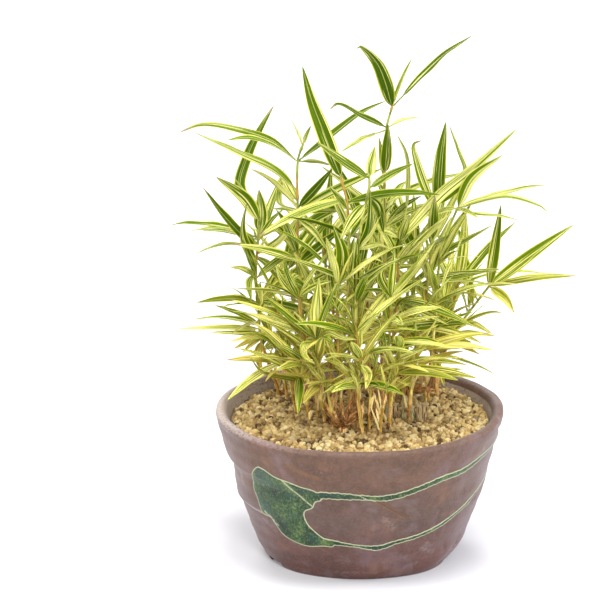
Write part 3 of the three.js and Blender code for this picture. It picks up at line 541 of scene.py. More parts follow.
def fanBlade(root, shape, turn=0, lift=0):
    # point(t) = root + length·(way·t − up·droop·t²)
    heading = shape["turn"] + turn
    rise = shape["pitch"] + lift
    out = np.array([math.cos(heading), math.sin(heading), 0.0])
    top = np.array([0.0, 0.0, 1.0])
    way = out * math.cos(rise) + top * math.sin(rise)
    t = np.array(fanRule["points"])[:, None]
    points = root + way * shape["length"] * t - top * shape["droop"] * shape["length"] * t * t
    face = top * math.cos(rise) - out * math.sin(rise)
    side = np.cross(way, face)
    normal = face * math.cos(shape["roll"]) + side * math.sin(shape["roll"]) - sight * shape["lean"]
    line = smoothLine(points)
    stalk = fanRule["stalk"] / line["length"]
    return {"line": line, "width": shape["width"], "normal": normal, "stalk": stalk}


def bladeFrame(blade, t):  # the midrib's place at t, the way across and the upper side's normal
    heading = lineHeading(blade["line"], t)
    normal = unit(blade["normal"] - heading * (heading @ blade["normal"])[:, None])
    return lineAt(blade["line"], t), np.cross(heading, normal), normal


def coverBlade(blade):  # balls along the blade, three abreast, that keep it clear of others
    step = growth["coverStep"]
    count = math.ceil(blade["line"]["length"] / step)
    t = np.arange(1, count + 1) / count
    middle, side = bladeFrame(blade, t)[:2]
    strip = blade["width"] * bladeWidth((t - blade["stalk"]) / (1 - blade["stalk"])) / 3
    radius = 0.5 * np.hypot(step, strip) + growth["bladeSpare"]
    abreast = np.array([-1, 0, 1])[None, :, None]
    centres = (middle[:, None] + side[:, None] * abreast * strip[:, None, None]).reshape(-1, 3)
    return makeCover(centres, np.repeat(radius, 3), np.repeat(t * blade["line"]["length"], 3))


def coverStem(stem):
    count = math.ceil(stem["line"]["length"] / growth["coverStep"])
    centres = lineAt(stem["line"], np.arange(count + 1) / count)
    return makeCover(centres, np.full(count + 1, growth["stemReach"]), np.zeros(count + 1))


def makeCover(centres, radius, along):
    low = (centres - radius[:, None]).min(0)
    high = (centres + radius[:, None]).max(0)
    return {"centres": centres, "radius": radius, "along": along, "low": low, "high": high}


def isClear(one, other, shared):
    first = np.full(len(one["along"]), True)
    second = np.full(len(other["along"]), True)
    if shared:
        first = one["along"] >= growth["sharedReach"]
        second = other["along"] >= growth["sharedReach"]
    apart = one["centres"][first][:, None] - other["centres"][second][None]
    least = one["radius"][first][:, None] + other["radius"][second][None]
    least = least * (growth["sharedShare"] if shared else 1)
    return not ((apart**2).sum(-1) < least**2).any()


def growPlant():
    stems = []
    for number, given in enumerate(leafyStems):
        x, y = given["root"]
        path = [[x, y, growth["straightTo"]]] + [fromView(*point) for point in given["path"]]
        stems.append({"number": number, "root": (x, y), "line": smoothLine(path), "blades": []})
    covers = [coverStem(stem) for stem in stems]
    owners = list(range(len(stems)))
    lows = np.array([cover["low"] for cover in covers])
    highs = np.array([cover["high"] for cover in covers])

    def place(stem, blade):
        nonlocal lows, highs
        cover = coverBlade(blade)
        if (cover["centres"][:, 2] < growth["lowestBlade"]).any():
            return False
        near = np.nonzero((cover["low"] <= highs).all(1) & (cover["high"] >= lows).all(1))[0]
        for i in near:
            shared = owners[i] == stem["number"]
            if shared and i < len(stems):
                continue
            if not isClear(cover, covers[i], shared):
                return False
        covers.append(cover)
        owners.append(stem["number"])
        lows = np.vstack([lows, cover["low"]])
        highs = np.vstack([highs, cover["high"]])
        stem["blades"].append(blade)
        return True

    def insideCrown(blade):
        tip = lineAt(blade["line"], 1)[0]
        radius = growth["crownRadius"] - growth["crownNarrowing"] * max(tip[2] - growth["crownFrom"], 0)
        return math.hypot(tip[0], tip[1] - growth["crownMiddle"]) < radius

    def placeFan(stem, root, shape):
        for lift in fanRule["lifts"]:
            for turn in fanRule["turns"]:
                blade = fanBlade(root, shape, math.radians(turn), math.radians(lift))
                if insideCrown(blade) and place(stem, blade):
                    return

    for stem, given in zip(stems, leafyStems):
        for blade in given.get("blades", []):
            any(place(stem, handBlade(stem, blade, shift)) for shift in growth["depthShifts"])
        stem["byHand"] = len(stem["blades"])
    for stem, given in zip(stems, leafyStems):
        draw = dice(growth["seed"] + growth["seedStep"] * stem["number"])
        for fan, (up, count, *heading) in enumerate(given.get("fans", [])):
            start, step = draw(0, 2 * math.pi), math.radians(fanRule["step"])
            if heading:
                step = math.radians(fanRule["oneSidedStep"])
                start = math.radians(heading[0]) - step * (count - 1) / 2
            for i in range(count):
                shape = {"turn": start + i * step + draw(*fanRule["turnStray"]), "lean": fanRule["lean"]}
                shape["pitch"] = math.radians(draw(*fanRule["topPitch" if fan == 0 else "pitch"]))
                for key in ("length", "droop", "roll"):
                    shape[key] = draw(*fanRule[key])
                likely = fanRule["widthShare"] * shape["length"] + draw(*fanRule["widthMore"])
                shape["width"] = min(max(likely, fanRule["width"][0]), fanRule["width"][1])
                placeFan(stem, onStem(stem, up - i * fanRule["apart"]), shape)
    return stems


stems = growPlant()
print("plant grown:", sum(len(stem["blades"]) for stem in stems), "blades on", len(stems), "stems")


# Mesh making. A tube is rows of closed rings with a pole at each end. The way round a ring, crossed with
# the way along the rows, points out.

def tubeFaces(rows, ring):
    row = np.arange(rows - 1)[:, None] * ring
    here = np.arange(ring)[None]
    after = (here + 1) % ring
    around = [row + here, row + after, row + ring + after, row + ring + here]
    quads = np.stack(around, -1).reshape(-1, 4)
    here, after, last = here[0], after[0], (rows - 1) * ring
    startPole = np.full(ring, rows * ring)
    starts = np.stack([startPole, after, here], -1)
    ends = np.stack([last + here, last + after, startPole + 1], -1)
    return quads, np.concatenate([starts, ends])


def tubePart(rings, startPole, endPole, uv, tone, material=0):
    rows, ring = rings.shape[:2]
    quads, triangles = tubeFaces(rows, ring)
    poleUv = np.array([[0.5, uv[0, :, 1].mean()], [0.5, uv[-1, :, 1].mean()]])
    poleTone = np.stack([tone[0].mean(0), tone[-1].mean(0)])
    return {
        "points": np.concatenate([rings.reshape(-1, 3), [startPole, endPole]]),
        "quads": quads,
        "triangles": triangles,
        "uv": np.concatenate([uv.reshape(-1, 2), poleUv]),
        "tone": np.concatenate([tone.reshape(-1, 3), poleTone]),
        "material": material,
    }


def gridUv(across, along):  # one value across and one along for each point of a tube's rings
    return np.stack(np.broadcast_arrays(across, along), -1)


def newMesh(name, points, faces):
    mesh = bpy.data.meshes.new(name)
    mesh.from_pydata(points, [], faces)
    return mesh


def addObject(name, data):
    thing = bpy.data.objects.new(name, data)
    bpy.context.scene.collection.objects.link(thing)
    return thing


def makePiece(name, parts, materials, nodes, sharp):
    # an edge stays hard where it bends by more than sharp, in degrees
    points = np.concatenate([part["points"] for part in parts]) * millimetre
    uv = np.concatenate([part["uv"] for part in parts])
    tone = np.concatenate([part["tone"] for part in parts])
    faces, finishes, start = [], [], 0
    for part in parts:
        faces += (part["quads"] + start).tolist() + (part["triangles"] + start).tolist()
        finishes += [part["material"]] * (len(faces) - len(finishes))
        start += len(part["points"])
    mesh = newMesh(name, points.tolist(), faces)
    corners = np.empty(len(mesh.loops), np.int32)
    mesh.loops.foreach_get("vertex_index", corners)
    mesh.uv_layers.new(name="surface").data.foreach_set("uv", uv[corners].ravel())
    colours = np.column_stack([tone, np.ones(len(tone))])
    mesh.attributes.new("tone", "FLOAT_COLOR", "POINT").data.foreach_set("color", colours.ravel())
    for material in materials:
        mesh.materials.append(material)
    mesh.polygons.foreach_set("material_index", finishes)
    mesh.polygons.foreach_set("use_smooth", [True] * len(faces))
    mesh.set_sharp_from_angle(angle=math.radians(sharp))
    mesh.update()
    piece = addObject(name, mesh)
    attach(piece, "root")
    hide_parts(*nodes)
    return piece


# Shader helpers

def addNode(tree, kind, at, values=None, **settings):
    node = tree.nodes.new(kind)
    node.location = at
    for key, value in settings.items():
        setattr(node, key, value)
    for key, value in (values or {}).items():
        node.inputs[key].default_value = value
    return node


def addRamp(tree, at, stops, source):
    ramp = addNode(tree, "ShaderNodeValToRGB", at)
    elements = ramp.color_ramp.elements
    while len(elements) < len(stops):
        elements.new(0.5)
    for element, (place, colour) in zip(elements, stops):
        element.position = place
        element.color = (*colour, 1)
    tree.links.new(source, ramp.inputs["Fac"])
    return ramp.outputs["Color"]


def feed(tree, socket, source):  # a link from another node, or a plain value
    if isinstance(source, bpy.types.NodeSocket):
        tree.links.new(source, socket)
    else:
        socket.default_value = source


def addMix(tree, at, share, first, second, blend="MIX"):
    mix = addNode(tree, "ShaderNodeMix", at, data_type="RGBA", blend_type=blend)
    feed(tree, mix.inputs[0], share)
    for number, colour in ((6, first), (7, second)):
        feed(tree, mix.inputs[number], (*colour, 1) if isinstance(colour, tuple) else colour)
    return mix.outputs[2]


def addRange(tree, at, source, low, high, outLow=0.0, outHigh=1.0):
    step = addNode(tree, "ShaderNodeMapRange", at, interpolation_type="SMOOTHSTEP")
    keys = ("Value", "From Min", "From Max", "To Min", "To Max")
    for key, value in zip(keys, (source, low, high, outLow, outHigh)):
        feed(tree, step.inputs[key], value)
    return step.outputs["Result"]


def addLayer(tree, at, colour, tone, source, low, high, share=1.0):
    # colour·(1 − share·step) + tone·share·step, where step goes from 0 at low to 1 at high
    step = addRange(tree, (at[0] - 200, at[1] - 300), source, low, high, 0, share)
    return addMix(tree, at, step, colour, tone)


def addMath(tree, at, operation, *sources):
    node = addNode(tree, "ShaderNodeMath", at, operation=operation)
    for socket, source in zip(node.inputs, sources):
        feed(tree, socket, source)
    return node.outputs[0]


def newGroup(name, inputs, outputs):
    group = bpy.data.node_groups.new(name, "ShaderNodeTree")
    for label, kind, value in inputs:
        socket = group.interface.new_socket(label, in_out="INPUT", socket_type=kind)
        socket.default_value = value
    for label, kind in outputs:
        group.interface.new_socket(label, in_out="OUTPUT", socket_type=kind)
    start = addNode(group, "NodeGroupInput", (-900, 0))
    end = addNode(group, "NodeGroupOutput", (900, 0))
    return group, start, end


def addGroup(tree, group, at, values):
    node = addNode(tree, "ShaderNodeGroup", at)
    node.node_tree = group
    for key, value in values.items():
        feed(tree, node.inputs[key], value)
    return node


def newMaterial(name, roughness, settings=None):
    material = bpy.data.materials.new(name)
    material.use_nodes = True
    shader = material.node_tree.nodes["Principled BSDF"]
    shader.inputs["Roughness"].default_value = roughness
    for key, value in (settings or {}).items():
        shader.inputs[key].default_value = value
    return material, material.node_tree, shader


def toneOf(tree):  # the three numbers that each piece keeps at its points
    source = addNode(tree, "ShaderNodeAttribute", (-1500, 200), attribute_name="tone")
    apart = addNode(tree, "ShaderNodeSeparateColor", (-1300, 200))
    tree.links.new(source.outputs["Color"], apart.inputs["Color"])
    return apart.outputs["Red"], apart.outputs["Green"], apart.outputs["Blue"]


def surfaceOf(tree):  # across and along, each from 0 to 1, from the piece's own UV map
    source = addNode(tree, "ShaderNodeUVMap", (-1500, -100), uv_map="surface")
    apart = addNode(tree, "ShaderNodeSeparateXYZ", (-1300, -100))
    tree.links.new(source.outputs["UV"], apart.inputs["Vector"])
    return apart.outputs["X"], apart.outputs["Y"]


def heightOf(tree, low, high):  # 0 to 1 between two heights, in metres
    place = addNode(tree, "ShaderNodeTexCoord", (-1500, -500))
    apart = addNode(tree, "ShaderNodeSeparateXYZ", (-1300, -500))
    tree.links.new(place.outputs["Object"], apart.inputs["Vector"])
    return addRange(tree, (-1100, -500), apart.outputs["Z"], low, high)


def bumpFrom(tree, height, strength, distance, shader):
    bump = addNode(tree, "ShaderNodeBump", (100, -300), {"Strength": strength, "Distance": distance})
    tree.links.new(height, bump.inputs["Height"])
    tree.links.new(bump.outputs["Normal"], shader.inputs["Normal"])


# Group: blotches, grains and specks of noise at three sizes on object coordinates
def makeMottle():
    inputs = [
        ("Size", "NodeSocketFloat", 300.0),
        ("Grain", "NodeSocketFloat", 2000.0),
        ("Stretch", "NodeSocketVector", (1, 1, 1)),
    ]
    outputs = [("Broad", "NodeSocketFloat"), ("Fine", "NodeSocketFloat"), ("Specks", "NodeSocketFloat")]
    group, start, end = newGroup("mottle", inputs, outputs)
    place = addNode(group, "ShaderNodeTexCoord", (-900, 300))
    stretched = addNode(group, "ShaderNodeVectorMath", (-600, 200), operation="MULTIPLY")
    group.links.new(place.outputs["Object"], stretched.inputs[0])
    group.links.new(start.outputs["Stretch"], stretched.inputs[1])
    for label, size, detail, at in (("Broad", "Size", 3, 300), ("Fine", "Grain", 4, 0)):
        noise = addNode(group, "ShaderNodeTexNoise", (-300, at), {"Detail": detail, "Roughness": 0.6})
        group.links.new(stretched.outputs[0], noise.inputs["Vector"])
        group.links.new(start.outputs[size], noise.inputs["Scale"])
        group.links.new(noise.outputs["Fac"], end.inputs[label])
    cells = addNode(group, "ShaderNodeTexVoronoi", (-300, -300))
    group.links.new(stretched.outputs[0], cells.inputs["Vector"])
    group.links.new(start.outputs["Grain"], cells.inputs["Scale"])
    specks = addRange(group, (0, -300), cells.outputs["Distance"], 0.28, 0.12)
    group.links.new(specks, end.inputs["Specks"])
    return group


# Group: stripes that run along a blade or culm and change across it, broad and fine
def makeStripes():
    inputs = [
        ("Across", "NodeSocketFloat", 0.0),
        ("Along", "NodeSocketFloat", 0.0),
        ("Seed", "NodeSocketFloat", 0.0),
        ("Number", "NodeSocketFloat", 3.0),
        ("Run", "NodeSocketFloat", 0.4),
    ]
    outputs = [("Broad", "NodeSocketFloat"), ("Fine", "NodeSocketFloat")]
    group, start, end = newGroup("stripes", inputs, outputs)
    for label, scale, shift, at in (("Broad", 1.0, 31.0, 200), ("Fine", 3.1, 57.0, -200)):
        place = addNode(group, "ShaderNodeCombineXYZ", (-400, at))
        factors = {"Across": start.outputs["Number"], "Along": start.outputs["Run"], "Seed": shift}
        for socket, (key, factor) in zip(place.inputs, factors.items()):
            product = addMath(group, (-600, at), "MULTIPLY", start.outputs[key], factor)
            group.links.new(product, socket)
        values = {"Scale": scale, "Detail": 1.0, "Roughness": 0.5}
        noise = addNode(group, "ShaderNodeTexNoise", (-200, at), values)
        group.links.new(place.outputs[0], noise.inputs["Vector"])
        group.links.new(noise.outputs["Fac"], end.inputs[label])
    return group


mottle = makeMottle()
stripes = makeStripes()


def addMottle(tree, at, size, grain, stretch=(1.0, 1.0, 1.0)):
    return addGroup(tree, mottle, at, {"Size": size, "Grain": grain, "Stretch": stretch}).outputs


def addStripes(tree, surface, seed, number, run):
    inputs = {"Across": surface[0], "Along": surface[1], "Seed": seed, "Number": number, "Run": run}
    return addGroup(tree, stripes, (-1000, 0), inputs).outputs


alongUnit = 40  # millimetres of a culm or stub for each step of its UV map

# Leafy stems: each is its culm and its blades in one piece

bladeLook = {
    "rows": 24,
    "rowsCloser": 0.045,  # towards both ends
    "topAcross": [-1, -0.72, -0.4, 0, 0.4, 0.72, 1],
    "thick": 0.26,
    "tipThinner": 0.6,
    "tipFrom": 0.8,
    "stalkThick": 0.6,
    "stalkThickOver": [-0.02, 0.1],  # shares of the blade in which it thins
    "stalkHalf": 0.42,
    "stalkHalfTo": 0.08,
    "fold": [0.1, 0.42],
    "twist": [-0.35, 0.35],
    "ripple": [0.02, 0.1],
    "ripples": [1.5, 3.5],
    "seed": 4411,
    "green": (0.115, 0.2, 0.002),
    "deepGreen": (0.034, 0.085, 0.001),
    "cream": (0.59, 0.575, 0.07),
    "paleCream": (0.81, 0.78, 0.32),
    "rib": (0.7, 0.68, 0.2),
    "vein": (0.2, 0.24, 0.01),
    "straw": (0.45, 0.32, 0.07),
    "dry": (0.33, 0.25, 0.15),
    "veins": 13,
    "plain": {1: [0, 1, 3, 9], 2: [8], 4: [4, 5], 5: [2], 11: [0, 7], 15: [0]},  # green blades, by stem
    "plainShare": 0.1,
    "plainGreen": [0.85, 1],
    "stripedGreen": [0.42, 0.82],
    "freshShare": 0.8,
    "freshAge": [0, 0.5],
    "oldAge": [0.5, 1],
}


def bladePart(blade, look, draws):
    # point(t, v) = midrib(t) + side(t)·v·half(t) + face(t)·(fold·half(t)·(|v|^1.2 − ½)
    # + ripple(t)·v²·(1 + skew·v) ± ½·thickness(t)·√(1 − 0.8·v²)),
    # where side and face turn about the midrib by twist·t
    share = np.linspace(0, 1, look["rows"] + 2)[1:-1]
    t = share - look["rowsCloser"] * np.sin(2 * math.pi * share)
    onBlade = (t - blade["stalk"]) / (1 - blade["stalk"])
    middle, side, face = bladeFrame(blade, t)
    twist = (draws.uniform(*look["twist"]) * np.clip(onBlade, 0, 1))[:, None]
    turned = face * np.cos(twist) - side * np.sin(twist)
    side = side * np.cos(twist) + face * np.sin(twist)
    top = np.array(look["topAcross"])
    v = np.concatenate([top, top[-2:0:-1]])
    under = np.concatenate([np.ones(len(top)), -np.ones(len(top) - 2)])
    stalk = look["stalkHalf"] * (1 - smooth(0, look["stalkHalfTo"], onBlade))
    half = np.maximum(blade["width"] / 2 * bladeWidth(onBlade), stalk)
    thicker = (look["stalkThick"] - look["thick"]) * (1 - smooth(*look["stalkThickOver"], onBlade))
    thick = (look["thick"] + thicker) * (1 - look["tipThinner"] * smooth(look["tipFrom"], 1, onBlade))
    fold = draws.uniform(*look["fold"])
    height, ripples = draws.uniform(*look["ripple"]), draws.uniform(*look["ripples"])
    start = draws.uniform()
    ripple = height * half * np.sin(2 * math.pi * (ripples * t + start))
    skew = draws.uniform(-1, 1)
    lift = fold * half[:, None] * (np.abs(v) ** 1.2 - 0.5) + ripple[:, None] * v**2 * (1 + skew * v)
    lift = lift + under * thick[:, None] / 2 * np.sqrt(1 - 0.8 * v**2)
    aside = (v * half[:, None])[..., None]
    rings = middle[:, None] + side[:, None] * aside + turned[:, None] * lift[..., None]
    uv = gridUv((v + 1) / 2, np.clip(onBlade, 0, 1)[:, None])
    tone = np.tile([draws.uniform(), blade["green"], blade["age"]], (*rings.shape[:2], 1))
    ends = lineAt(blade["line"], [0, 1])
    return tubePart(rings, ends[0], ends[1], uv, tone)


culmLook = {
    "sides": 10,
    "rowStep": 1.1,
    "low": 51.6,
    "samples": 80,
    "thick": [1.4, 1.0],
    "tipTaper": [3, 0.75],
    "mostNodes": 40,
    "internode": [9, 17],
    "nodesBelow": 6,
    "lastInternode": 12,
    "nodeRise": 0.22,
    "nodeReach": 0.7,
    "sheathRise": 0.13,
    "sheathEnd": [0.45, 0.9],
    "seed": 903,
}


def culmAt(stem, up):  # the culm's middle at a true height
    along = lineAt(stem["line"], np.linspace(0, 1, culmLook["samples"]))
    places = np.concatenate([[[*stem["root"], culmLook["low"]]], along])
    return np.array([np.interp(up, places[:, 2], places[:, axis]) for axis in range(3)])


def culmPart(stem, look, draws):
    # point(s, a) = path(s) + radius(s)·(left·cos a + back·sin a), where the radius tapers, rises in a ring
    # at each node and steps down where the sheath above the node ends
    x, y = stem["root"]
    straight = growth["straightTo"] - look["low"]
    length = straight + stem["line"]["length"]
    s = np.linspace(0, length, int(length / look["rowStep"]) + 2)
    upright = np.stack([np.full(len(s), x), np.full(len(s), y), look["low"] + s], -1)
    t = (s - straight) / stem["line"]["length"]
    path = np.where((t < 0)[:, None], upright, lineAt(stem["line"], t))
    heading = unit(np.gradient(path, axis=0))
    left = unit(np.cross(np.array([0.0, 1.0, 0.0]), heading))
    back = np.cross(heading, left)
    spans = draws.uniform(*look["internode"], size=look["mostNodes"])
    nodes = np.cumsum(spans) + straight - look["nodesBelow"]
    nodes = np.concatenate([[0.0], nodes[nodes < length], [length + look["lastInternode"]]])
    here = np.searchsorted(nodes, s, side="right") - 1
    fromNode = s - nodes[here]
    phase = fromNode / (nodes[here + 1] - nodes[here])
    sheathed = phase < draws.uniform(*look["sheathEnd"], size=len(nodes))[here]
    radius = np.interp(np.clip(t, 0, 1), [0, 1], look["thick"]) / 2
    radius = radius + look["nodeRise"] * np.exp(-((fromNode / look["nodeReach"]) ** 2))
    radius = radius + look["sheathRise"] * (1 - phase) * sheathed
    taperLength, taper = look["tipTaper"]
    radius = radius * (1 - taper * smooth(length - taperLength, length, s))
    a = evenAngles(look["sides"])
    around = left[:, None] * np.cos(a)[None, :, None] + back[:, None] * np.sin(a)[None, :, None]
    rings = path[:, None] + around * radius[:, None, None]
    uv = gridUv(a / (2 * math.pi), s[:, None] / alongUnit)
    tint = draws.uniform(size=len(nodes))[here]
    values = np.stack([sheathed.astype(float), np.clip(t, 0, 1), tint], -1)
    tone = np.repeat(values[:, None], len(a), 1)
    return tubePart(rings, path[0], path[-1], uv, tone, material=1)


def makeLeafMaterial():
    settings = {
        "Specular IOR Level": 0.05,
        "Subsurface Weight": 0.15,
        "Subsurface Radius": (0.6, 0.8, 0.15),
        "Subsurface Scale": 0.0008,
    }
    material, tree, shader = newMaterial("leafStriped", 0.52, settings)
    look = bladeLook
    seed, green, age = toneOf(tree)
    across, along = surfaceOf(tree)
    field = addStripes(tree, (across, along), seed, 7.0, 0.5)
    broad, fine = field["Broad"], field["Fine"]
    darker = addMath(tree, (-800, 500), "ADD", green, fine)
    greens = addLayer(tree, (-300, 450), look["green"], look["deepGreen"], darker, 0.95, 1.5)
    creams = addLayer(tree, (-300, 200), look["paleCream"], look["cream"], fine, 0.4, 0.62)
    coarse = addMath(tree, (-800, 100), "MULTIPLY", broad, 0.55)
    level = addMath(tree, (-620, 50), "MULTIPLY_ADD", fine, 0.45, coarse)
    low = addMath(tree, (-800, 300), "MULTIPLY_ADD", green, -0.26, 0.6)
    high = addMath(tree, (-620, 300), "ADD", low, 0.04)
    colour = addLayer(tree, (-120, 200), creams, greens, level, low, high)
    fromRib = addMath(tree, (-620, -250), "ABSOLUTE", addMath(tree, (-800, -250), "SUBTRACT", across, 0.5))
    colour = addLayer(tree, (-30, 200), colour, look["cream"], fromRib, 0.36, 0.46, 0.7)
    colour = addLayer(tree, (60, 200), colour, look["rib"], fromRib, 0.045, 0.015, 0.5)
    phase = addMath(tree, (-260, -250), "MULTIPLY", across, 2 * math.pi * look["veins"])
    veins = addMath(tree, (-80, -250), "SINE", phase)
    colour = addLayer(tree, (240, 200), colour, look["vein"], veins, 0.2, 1, 0.22)
    fading = addMath(tree, (60, 500), "MULTIPLY", heightOf(tree, 0.14, 0.075), age)
    colour = addLayer(tree, (330, 300), colour, look["straw"], fading, 0, 0.6, 0.5)
    tipStart = addMath(tree, (-440, -450), "MULTIPLY_ADD", age, -0.13, 1.02)
    tipEnd = addMath(tree, (-260, -450), "ADD", tipStart, 0.05)
    place = addMath(tree, (-260, -600), "MULTIPLY_ADD", broad, 0.06, along)
    colour = addLayer(tree, (420, 200), colour, look["dry"], place, tipStart, tipEnd)
    # painted light by height: the colour is brightened low down to lift the shade deep in the crown, and
    # darkened high up to tone down the light on top of it
    lowToHigh = [(0.0, (1.3, 1.24, 1.12)), (1.0, (0.83, 0.82, 0.8))]
    lightByHeight = addRamp(tree, (420, 500), lowToHigh, heightOf(tree, 0.09, 0.18))
    colour = addMix(tree, (600, 200), 1.0, colour, lightByHeight, "MULTIPLY")
    tree.links.new(colour, shader.inputs["Base Color"])
    bumpFrom(tree, veins, 0.35, 0.0001, shader)
    return material


def makeCulmMaterial():
    material, tree, shader = newMaterial("culmSheathed", 0.5, {"Specular IOR Level": 0.35})
    sheathed, height, seed = toneOf(tree)
    fine = addStripes(tree, surfaceOf(tree), seed, 7.0, 3.0)["Fine"]
    spread = addMath(tree, (-1100, 300), "SUBTRACT", seed, 0.5)
    shifted = addMath(tree, (-800, 300), "MULTIPLY_ADD", spread, 0.35, height)
    bare = [
        (0.0, (0.54, 0.28, 0.05)),
        (0.12, (0.52, 0.44, 0.06)),
        (0.4, (0.3, 0.32, 0.03)),
        (0.8, (0.17, 0.23, 0.015)),
    ]
    clad = [
        (0.0, (0.85, 0.48, 0.15)),
        (0.14, (0.78, 0.63, 0.15)),
        (0.5, (0.45, 0.44, 0.08)),
        (0.9, (0.3, 0.36, 0.045)),
    ]
    culm = addRamp(tree, (-500, 300), bare, shifted)
    sheath = addRamp(tree, (-500, 0), clad, shifted)
    colour = addMix(tree, (-250, 200), sheathed, culm, sheath)
    amber, dark = (0.5, 0.24, 0.035), (0.1, 0.055, 0.015)
    colour = addLayer(tree, (-100, 200), colour, amber, seed, 0.55, 0.68, 0.7)
    colour = addLayer(tree, (50, 200), colour, dark, fine, 0.5, 0.6, 0.75)
    tree.links.new(colour, shader.inputs["Base Color"])
    bumpFrom(tree, fine, 0.3, 0.0002, shader)
    return material


def makeSheathMaterial():
    material, tree, shader = newMaterial("sheathDry", 0.75)
    seed, tint = toneOf(tree)[:2]
    fine = addStripes(tree, surfaceOf(tree), seed, 9.0, 1.5)["Fine"]
    spread = addMath(tree, (-1100, 100), "SUBTRACT", tint, 0.5)
    level = addMath(tree, (-800, 200), "MULTIPLY_ADD", spread, 0.5, fine)
    tones = [
        (0.24, (0.03, 0.012, 0.004)),
        (0.38, (0.27, 0.095, 0.022)),
        (0.5, (0.72, 0.37, 0.085)),
        (0.66, (0.95, 0.78, 0.34)),
    ]
    colour = addRamp(tree, (-500, 200), tones, level)
    tree.links.new(colour, shader.inputs["Base Color"])
    bumpFrom(tree, fine, 0.6, 0.0003, shader)
    return material


leafMaterial = makeLeafMaterial()
culmMaterial = makeCulmMaterial()
sheathMaterial = makeSheathMaterial()

# Dry scraps of old sheaths that hug the foot of each stem
scraps = {
    "count": [5, 9],
    "from": [62.5, 80],
    "aside": 0.35,
    "pitch": [60, 86],
    "length": [5, 15],
    "droop": [-0.05, 0.2],
    "roll": [-0.5, 0.5],
    "width": [1.1, 2.3],
    "green": [0.1, 1],
}
scrapLook = dict(
    bladeLook,
    rows=9,
    topAcross=[-1, -0.5, 0, 0.5, 1],
    thick=0.2,
    stalkHalf=0.5,
    fold=[0.4, 1.1],
    twist=[-0.9, 0.9],
    ripple=[0.1, 0.25],
)


def scrapPart(stem, draws):
    up = draws.uniform(*scraps["from"])
    turn = draws.uniform(0, 2 * math.pi)
    root = culmAt(stem, up) + scraps["aside"] * np.array([math.cos(turn), math.sin(turn), 0.0])
    shape = {"turn": turn, "lean": 0, "pitch": math.radians(draws.uniform(*scraps["pitch"]))}
    for key in ("length", "droop", "roll", "width"):
        shape[key] = draws.uniform(*scraps[key])
    scrap = fanBlade(root, shape)
    scrap["green"], scrap["age"] = draws.uniform(*scraps["green"]), draws.uniform()
    part = bladePart(scrap, scrapLook, draws)
    part["material"] = 2
    return part


# Small young blades low on each stem, too thin for the solids
young = {
    "count": [8, 14],
    "from": [84, 146],
    "belowTip": 12,
    "pitch": [22, 80],
    "length": [11, 27],
    "droop": [0.05, 0.5],
    "roll": [-0.6, 0.6],
    "width": [1.5, 3.2],
    "green": [0.3, 0.8],
    "age": [0, 0.8],
}
youngLook = dict(
    bladeLook,
    rows=13,
    topAcross=[-1, -0.5, 0, 0.5, 1],
    thick=0.2,
    stalkThick=0.45,
    stalkHalf=0.3,
)


def youngPart(stem, draws):
    low, high = young["from"]
    tip = lineAt(stem["line"], 1)[0]
    up = draws.uniform(low, max(low, min(high, tip[2] - young["belowTip"])))
    shape = {"turn": draws.uniform(0, 2 * math.pi), "lean": 0, "roll": draws.uniform(*young["roll"])}
    shape["pitch"] = math.radians(draws.uniform(*young["pitch"]))
    for key in ("length", "droop", "width"):
        shape[key] = draws.uniform(*young[key])
    blade = fanBlade(culmAt(stem, up), shape)
    blade["green"], blade["age"] = draws.uniform(*young["green"]), draws.uniform(*young["age"])
    return bladePart(blade, youngLook, draws)


def makeLeafyStem(stem):
    look = bladeLook
    draws = np.random.default_rng(look["seed"] + stem["number"])
    parts = []
    for number, blade in enumerate(stem["blades"]):
        isPlain = number in look["plain"].get(stem["number"] + 1, [])
        if number >= stem["byHand"]:
            isPlain = draws.uniform() < look["plainShare"]
        blade["green"] = draws.uniform(*look["plainGreen" if isPlain else "stripedGreen"])
        isFresh = draws.uniform() < look["freshShare"]
        blade["age"] = draws.uniform(*look["freshAge" if isFresh else "oldAge"])
        parts.append(bladePart(blade, look, draws))
    parts.append(culmPart(stem, culmLook, np.random.default_rng(culmLook["seed"] + stem["number"])))
    parts += [scrapPart(stem, draws) for i in range(draws.integers(*scraps["count"]))]
    parts += [youngPart(stem, draws) for i in range(draws.integers(*young["count"]))]
    number = f"{stem['number'] + 1:02d}"
    materials = [leafMaterial, culmMaterial, sheathMaterial]
    return makePiece(f"leafyStem{number}", parts, materials, [f"leafy_stem_{number}"], sharp=50)


for stem in stems:
    makeLeafyStem(stem)
print("leafy stems made")


# Bowl: a turned profile with the marks of the hand that made it, and a green glaze poured over its front

